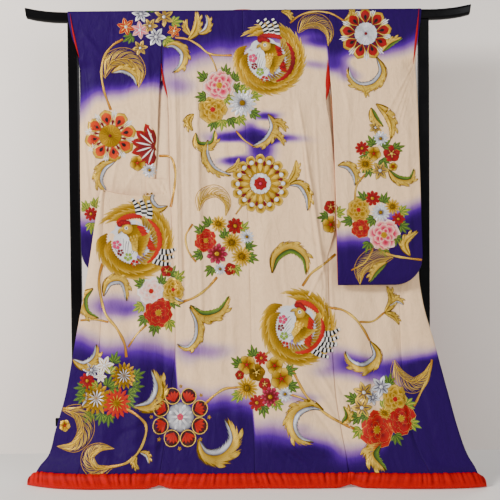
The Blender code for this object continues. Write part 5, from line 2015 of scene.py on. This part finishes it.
def crests(work):
    shield_wheel(work, spots(SHIELD_WHEEL[0]), SHIELD_WHEEL[1] * PIXEL, 8, 0.39)
    scalloped_wheel(work, spots(SCALLOPED_WHEEL[0]), SCALLOPED_WHEEL[1] * PIXEL)
    for middle, size, facing, turn, stripes, trim in BIRDS:
        bird_roundel(work, spots(middle), size * PIXEL, facing, turn, stripes, trim)


def bouquets(work, sprigs, flowers):
    for (cx, cy), *places in sprigs:
        for x, y in places:
            angle = math.degrees(math.atan2(cy - y, x - cx))
            foot = turned(spots((x, y)), math.radians(angle), -SPRIG_BACK)
            pale = (x + y) % 3 > 1.8
            colours = [LEAF_GREEN, BRIGHT_GREEN] if pale else [DARK_GREEN, LEAF_GREEN]
            sprig(work, foot, SPRIG_LENGTH, angle, colours, BRIGHT_GOLD if pale else BRIGHT_GREEN)
    for kind, x, y, size in flowers:
        flower(work, kind, x, y, size)


def on_sleeve(place):
    """Whether a place seen from the front lies on a sleeve, clear of its edges."""
    x, y = place
    return (x < 150 and y < 180) or (x > 345 and y < 275)


def mirrored(place):
    x, y = place
    return (PHOTO_SIZE - x, y)


def sleeve_work(table, first):
    """The rows of a table that lie on the sleeves, turned to the other sleeve for its far side."""
    rows = []
    for row in table:
        if all(on_sleeve(place) for place in row[first:]):
            rows.append((*row[:first], *(mirrored(place) for place in row[first:])))
    return rows


# Embroidery: laying it on the cloth

# How far from the stand the flat work starts, and how far it may go to meet cloth
WORKED_AT = 2.0
REACHES = 6.0


def geometry_group(name, inputs):
    tree = bpy.data.node_groups.new(name, "GeometryNodeTree")
    for label, kind in inputs:
        tree.interface.new_socket(label, in_out="INPUT", socket_type=kind)
    tree.interface.new_socket("Geometry", in_out="OUTPUT", socket_type=GEOMETRY)
    return tree, tree.nodes.new("NodeGroupInput"), tree.nodes.new("NodeGroupOutput")


def group_lay_on_cloth():
    """Carries flat work onto the cloth in front of it: each point goes straight on to the cloth and then
    stands off it by its rise. Points that meet no cloth are marked.
    """
    sockets = [
        ("Geometry", GEOMETRY), ("Cloth", OBJECT), ("Way in", VECTOR), ("Lift", FLOAT), ("Thread", MATERIAL)
    ]
    tree, given, out = geometry_group("lay_on_cloth", sockets)
    cloth = node(
        tree, "GeometryNodeObjectInfo", {"Object": given.outputs["Cloth"]}, transform_space="RELATIVE"
    )
    rise = node(tree, "GeometryNodeInputNamedAttribute", {"Name": "rise"}, data_type="FLOAT")
    hit = node(tree, "GeometryNodeRaycast", {
        "Target Geometry": cloth.outputs["Geometry"], "Ray Direction": given.outputs["Way in"],
        "Ray Length": REACHES,
    })
    lift = maths(tree, "MULTIPLY", rise.outputs["Attribute"], given.outputs["Lift"])
    off = node(tree, "ShaderNodeVectorMath", {0: hit.outputs["Hit Normal"], "Scale": lift}, operation="SCALE")
    place = {0: hit.outputs["Hit Position"], 1: off.outputs[0]}
    laid = node(tree, "GeometryNodeSetPosition", {
        "Geometry": given.outputs["Geometry"],
        "Position": node(tree, "ShaderNodeVectorMath", place, operation="ADD").outputs[0],
    })
    missed = node(tree, "FunctionNodeBooleanMath", {0: hit.outputs["Is Hit"]}, operation="NOT")
    mark = {"Name": "missed", "Geometry": laid.outputs["Geometry"], "Value": missed.outputs[0]}
    marked = node(tree, "GeometryNodeStoreNamedAttribute", mark, data_type="FLOAT", domain="POINT")
    paint = {"Geometry": marked.outputs["Geometry"], "Material": given.outputs["Thread"]}
    painted = node(tree, "GeometryNodeSetMaterial", paint)
    whole = node(tree, "GeometryNodeRealizeInstances", {"Geometry": painted.outputs["Geometry"]})
    feed(tree, out, {"Geometry": whole.outputs["Geometry"]})
    return tree


def group_row_of_stitches():
    """Sets one stitch after another along a line."""
    sockets = [
        ("Geometry", GEOMETRY), ("Stitch", OBJECT), ("Spacing", FLOAT), ("Size", FLOAT), ("Thread", MATERIAL)
    ]
    tree, given, out = geometry_group("row_of_stitches", sockets)
    line = node(tree, "GeometryNodeMeshToCurve", {"Mesh": given.outputs["Geometry"]})
    spaced = {"Curve": line.outputs["Curve"], "Length": given.outputs["Spacing"]}
    even = node(tree, "GeometryNodeResampleCurve", spaced, mode="LENGTH")
    one = node(
        tree, "GeometryNodeObjectInfo", {"Object": given.outputs["Stitch"]}, transform_space="ORIGINAL"
    )
    way = {"Vector": node(tree, "GeometryNodeInputTangent").outputs["Tangent"]}
    turn = node(tree, "FunctionNodeAlignRotationToVector", way, axis="X", pivot_axis="Y")
    each = node(tree, "GeometryNodeInstanceOnPoints", {
        "Points": even.outputs["Curve"],
        "Instance": one.outputs["Geometry"],
        "Rotation": turn.outputs["Rotation"],
        "Scale": given.outputs["Size"],
    })
    whole = node(tree, "GeometryNodeRealizeInstances", {"Geometry": each.outputs["Instances"]})
    paint = {"Geometry": whole.outputs["Geometry"], "Material": given.outputs["Thread"]}
    feed(tree, out, {"Geometry": node(tree, "GeometryNodeSetMaterial", paint).outputs["Geometry"]})
    return tree


def work_out(made, tree, **values):
    """Runs a node tree on an object and leaves its result as a plain mesh."""
    modifier = made.modifiers.new("work", "NODES")
    modifier.node_group = tree
    for item in tree.interface.items_tree:
        label = item.name.replace(" ", "_")
        if item.item_type == "SOCKET" and item.in_out == "INPUT" and label in values:
            modifier[item.identifier] = values[label]
    bpy.context.view_layer.update()
    result = bpy.data.meshes.new_from_object(made.evaluated_get(bpy.context.evaluated_depsgraph_get()))
    made.modifiers.clear()
    result.name = made.data.name
    made.data = result
    return made


def joined_cloth(name, pieces):
    """One unseen object of all the cloth that embroidery may lie on."""
    shape = bmesh.new()
    for piece in pieces:
        shape.from_mesh(piece.data)
    mesh = bpy.data.meshes.new(name)
    shape.to_mesh(mesh)
    shape.free()
    return put_in_scene(name, mesh)


# A face is torn where its corners differ more than this in depth, apart from the cloth's own slope
TORN = 0.0045
TORN_SLOPE = 1.2


def cut_at_edges(made, flat):
    """Drops the faces that would span the gap between one layer of cloth and the next, or that met none."""
    mesh = made.data
    count = len(mesh.vertices)
    points = np.empty(count * 3)
    mesh.vertices.foreach_get("co", points)
    missed = np.empty(count)
    mesh.attributes["missed"].data.foreach_get("value", missed)
    points = points.reshape(-1, 3)
    shape = bmesh.new()
    shape.from_mesh(mesh)
    shape.faces.ensure_lookup_table()
    spare = []
    for face in shape.faces:
        corners = [vertex.index for vertex in face.verts]
        if missed[corners].max() > 0.5:
            spare.append(face)
            continue
        for a, b in zip(corners, corners[1:] + corners[:1]):
            far = abs(points[a, 1] - points[b, 1])
            near = abs(flat[a, 0] - flat[b, 0]) + abs(flat[a, 1] - flat[b, 1])
            if far > TORN + TORN_SLOPE * near:
                spare.append(face)
                break
    bmesh.ops.delete(shape, geom=spare, context="FACES")
    shape.to_mesh(mesh)
    shape.free()
    mesh.attributes.remove(mesh.attributes["missed"])
    mesh.attributes.remove(mesh.attributes["rise"])
    mesh.shade_smooth()


def lay_down(work, cloth, tree):
    """Makes the metal and the silk work of one frame and lays both on the cloth."""
    far = -WORKED_AT if work.way > 0 else WORKED_AT
    for metal, kind, thread in ((1.0, "metal_thread", METAL_THREAD), (0.0, "silk_thread", SILK_THREAD)):
        kit = work.kits[metal]
        if not kit.points:
            continue
        flat = np.concatenate(kit.points)
        faces = np.concatenate(kit.faces)
        a, b, c = (flat[faces[:, k]] for k in (0, 1, 2))
        d = flat[faces[:, 3]]
        turn = (c - a)[:, 0] * (d - b)[:, 1] - (c - a)[:, 1] * (d - b)[:, 0]
        faces = np.where((turn * work.way > 0)[:, None], faces, faces[:, ::-1])
        points = np.stack([flat[:, 0], np.full(len(flat), far - STAND_Y), flat[:, 1]], axis=-1)
        colour = np.concatenate(kit.colours)
        values = {
            "rise": np.concatenate(kit.rises),
            "thread": np.concatenate([colour, np.ones((len(colour), 1))], axis=1),
        }
        made = new_piece(
            f"{work.name}_{kind}_work", points, faces.tolist(), [thread], uv=np.concatenate(kit.lay),
            values=values, closed=False,
        )
        work_out(made, tree, Cloth=cloth, Way_in=(0.0, work.way, 0.0), Lift=1.0, Thread=thread)
        cut_at_edges(made, flat)
        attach(made, BODY)


# Stage, lights and camera

DAYLIGHT = (0.93, 0.94, 0.96, 1.0)
DAYLIGHT_STRENGTH = 0.34

# Lights: name, place, what each is aimed at, width and height, watts, colour
LIGHTS = [
    ("key", (-3.2, -2.6, 3.0), (0.0, 0.0, 0.9), (1.2, 1.2), 250, (1.0, 0.97, 0.94)),
    ("fill", (2.6, -3.4, 2.2), (0.1, 0.0, 0.8), (2.0, 2.4), 60, (0.97, 0.98, 1.0)),
    ("rear", (1.6, 3.6, 3.0), (0.0, 0.0, 0.9), (2.4, 1.8), 60, (1.0, 1.0, 1.0)),
]


def stage_surface(name, corners, colour, one_sided):
    mesh = bpy.data.meshes.new(name)
    mesh.from_pydata(corners, [], [(0, 1, 2, 3)])
    made = put_in_scene(name, mesh)
    finish, tree, shader = new_material(name + "_paint")
    feed(tree, shader, {"Base Color": (*colour, 1.0), "Roughness": 0.85})
    if one_sided:
        behind = node(tree, "ShaderNodeNewGeometry").outputs["Backfacing"]
        clear = node(tree, "ShaderNodeBsdfTransparent").outputs[0]
        either = node(tree, "ShaderNodeMixShader", {"Fac": behind, 1: shader.outputs[0], 2: clear})
        feed(tree, tree.nodes["Material Output"], {"Surface": either.outputs[0]})
    mesh.materials.append(finish)
    return made


def set_stage():
    """A pale floor, and a pale wall behind the stand that only shows from its front."""
    reach, wall_y, wall_top = 9.0, 0.34, 6.0
    stage_surface(
        "floor", [(-reach, -reach, 0.0), (reach, -reach, 0.0), (reach, reach, 0.0), (-reach, reach, 0.0)],
        linear(254, 248, 240), False,
    )
    wall = stage_surface(
        "wall",
        [
            (-reach, wall_y, -0.01), (reach, wall_y, -0.01), (reach, wall_y, wall_top),
            (-reach, wall_y, wall_top),
        ],
        linear(250, 242, 234),
        True,
    )
    wall.visible_diffuse = wall.visible_shadow = wall.visible_glossy = False


def area_light(name, place, aim, size, power, colour):
    data = bpy.data.lights.new(name, "AREA")
    data.shape = "RECTANGLE"
    data.size, data.size_y = size
    data.energy = power
    data.color = colour
    made = put_in_scene(name, data)
    made.location = place
    made.rotation_euler = (Vector(aim) - Vector(place)).to_track_quat("-Z", "Y").to_euler()


def set_lights():
    world = bpy.data.worlds.new("pale_daylight")
    world.use_nodes = True
    tree = world.node_tree
    feed(tree, tree.nodes["Background"], {"Color": DAYLIGHT, "Strength": DAYLIGHT_STRENGTH})
    bpy.context.scene.world = world
    for light in LIGHTS:
        area_light(*light)


def set_camera():
    data = bpy.data.cameras.new("camera")
    data.sensor_width = 36.0
    data.lens = LENS_PIXELS * data.sensor_width / PHOTO_SIZE
    data.clip_start, data.clip_end = 0.05, 60.0
    made = put_in_scene("camera", data)
    level = Matrix.Rotation(math.radians(90) - PITCH, 4, "X")
    made.matrix_world = (
        Matrix.Translation((0.0, STAND_Y - CAMERA_BEFORE, CAMERA_Z)) @ level @ Matrix.Rotation(-ROLL, 4, "Z")
    )
    bpy.context.scene.camera = made


# The kimono on its stand


def dress(made, node_name):
    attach(made, BODY)
    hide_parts(node_name)
    return made


def make_cloth():
    fold = pinched_fold("pinched_fold_cloth")
    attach(fold, BODY)
    slivers = {"left": [], "right": []}
    for name, depth, half, *path in LINING_SHOWS:
        edge = lining_edge(name, depth, half, path)
        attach(edge, BODY)
        slivers[name.split("_")[0]].append(edge)
    made = {}
    for name, side in (("left", -1), ("right", 1)):
        made["back_" + name] = dress(back_panel(f"back_{name}_cloth", side), "back_" + name)
        made["front_" + name] = dress(
            front_panel(f"front_{name}_cloth", side), "front_" + name,
        )
        made["overlap_" + name] = dress(
            overlap_panel(f"overlap_{name}_cloth", side), "overlap_" + name,
        )
        made["sleeve_" + name] = dress(
            sleeve(f"sleeve_{name}_cloth", side), "sleeve_" + name
        )
    made["collar"] = dress(collar_band(), "collar")
    return made


def make_hem():
    parts = (
        ("hem_left", HEM_LINE[0][0], NOTCH_LEFT_X - SEAM / 2, TIP, NOTCH),
        ("hem_back", NOTCH_LEFT_X + SEAM / 2, NOTCH_RIGHT_X - SEAM / 2, NOTCH, NOTCH),
        ("hem_right", NOTCH_RIGHT_X + SEAM / 2, HEM_LINE[-1][0], NOTCH, TIP),
    )
    for name, start, end, start_size, end_size in parts:
        made = dress(hem_roll(name + "_roll", start, end, start_size, end_size), name)


# Rows of stitches: name, spacing and length of a stitch in metres, then the places along the row as seen
STITCHED_ROWS = [
    ("hem_tacking", 0.0085, 0.8, (42, 468), (110, 469), (180, 470), (250, 470.5), (320, 470.5), (390, 470),
     (468, 467)),
    ("spine_seam", 0.0120, 0.7, (245.5, 24), (247, 120), (249.5, 230), (251, 340), (252.5, 440)),
]


def one_stitch():
    """A short raised stitch, pointed at both ends, lying flat in front of the cloth."""
    spine = np.array([(-0.0016, 0.0), (-0.0008, 0.0), (0.0008, 0.0), (0.0016, 0.0)])
    points, rises, faces = [], [], []
    for (x, z), half in zip(spine, (0.00008, 0.00035, 0.00035, 0.00008)):
        points += [(x, -STAND_Y, z - half), (x, -STAND_Y, z), (x, -STAND_Y, z + half)]
        rises += [0.0002, 0.0007, 0.0002]
    for k in range(3):
        for side in range(2):
            low = 3 * k + side
            faces.append((low, low + 3, low + 4, low + 1))
    colours = np.tile((*INK, 1.0), (len(points), 1))
    flat = [(x, z) for x, _, z in points]
    return new_piece(
        "one_stitch", points, faces, [SILK_THREAD], uv=flat, values={"rise": rises, "thread": colours},
        closed=False
    )


def make_stitches(carrier, lay_tree):
    stitch = one_stitch()
    tree = group_row_of_stitches()
    for name, spacing, size, *places in STITCHED_ROWS:
        line = smooth_path(spots(places), 60)
        points = [(x, -WORKED_AT - STAND_Y, z) for x, z in line]
        mesh = bpy.data.meshes.new(name + "_stitches")
        steps = [(k, k + 1) for k in range(len(points) - 1)]
        mesh.from_pydata([(x, y + STAND_Y, z) for x, y, z in points], steps, [])
        made = put_in_scene(name + "_stitches", mesh)
        work_out(made, tree, Stitch=stitch, Spacing=spacing, Size=size, Thread=SILK_THREAD)
        flat = np.empty(len(made.data.vertices) * 3)
        made.data.vertices.foreach_get("co", flat)
        work_out(made, lay_tree, Cloth=carrier, Way_in=(0.0, 1.0, 0.0), Lift=1.0, Thread=SILK_THREAD)
        cut_at_edges(made, flat.reshape(-1, 3)[:, [0, 2]])
        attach(made, BODY)
    bpy.data.objects.remove(stitch)


def make_embroidery(cloths):
    carrier = joined_cloth("cloth_under_embroidery", cloths.values())
    tree = group_lay_on_cloth()
    leaves, front, behind = Frame("scroll", 1.0), Frame("front", 1.0), Frame("behind", -1.0)
    scrolls(leaves, VINES, LEAVES)
    lay_down(leaves, carrier, tree)
    wheels(front, WHEELS)
    crests(front)
    bouquets(front, SPRIGS, FLOWERS)
    lay_down(front, carrier, tree)
    scrolls(behind, sleeve_work(VINES, 1), sleeve_work(LEAVES, 2))
    wheels(behind, [(mirrored(middle), *rest) for middle, *rest in WHEELS])
    bouquets(
        behind, sleeve_work(SPRIGS, 0),
        [(kind, *mirrored((x, y)), size) for kind, x, y, size in FLOWERS if on_sleeve((x, y))],
    )
    lay_down(behind, carrier, tree)
    make_stitches(carrier, tree)
    bpy.data.objects.remove(carrier)


def finish_stand():
    """Every piece of the stand keeps its solid and takes the lacquer."""
    for name in ("top_rail", "mid_rail", "lower_rail", "post_left", "post_right", "foot_left", "foot_right"):
        made = bpy.data.objects[name]
        made.data.materials.clear()
        made.data.materials.append(LACQUER)


CLOTHS = make_cloth()
make_embroidery(CLOTHS)
make_hem()
finish_stand()
set_stage()
set_lights()
set_camera()
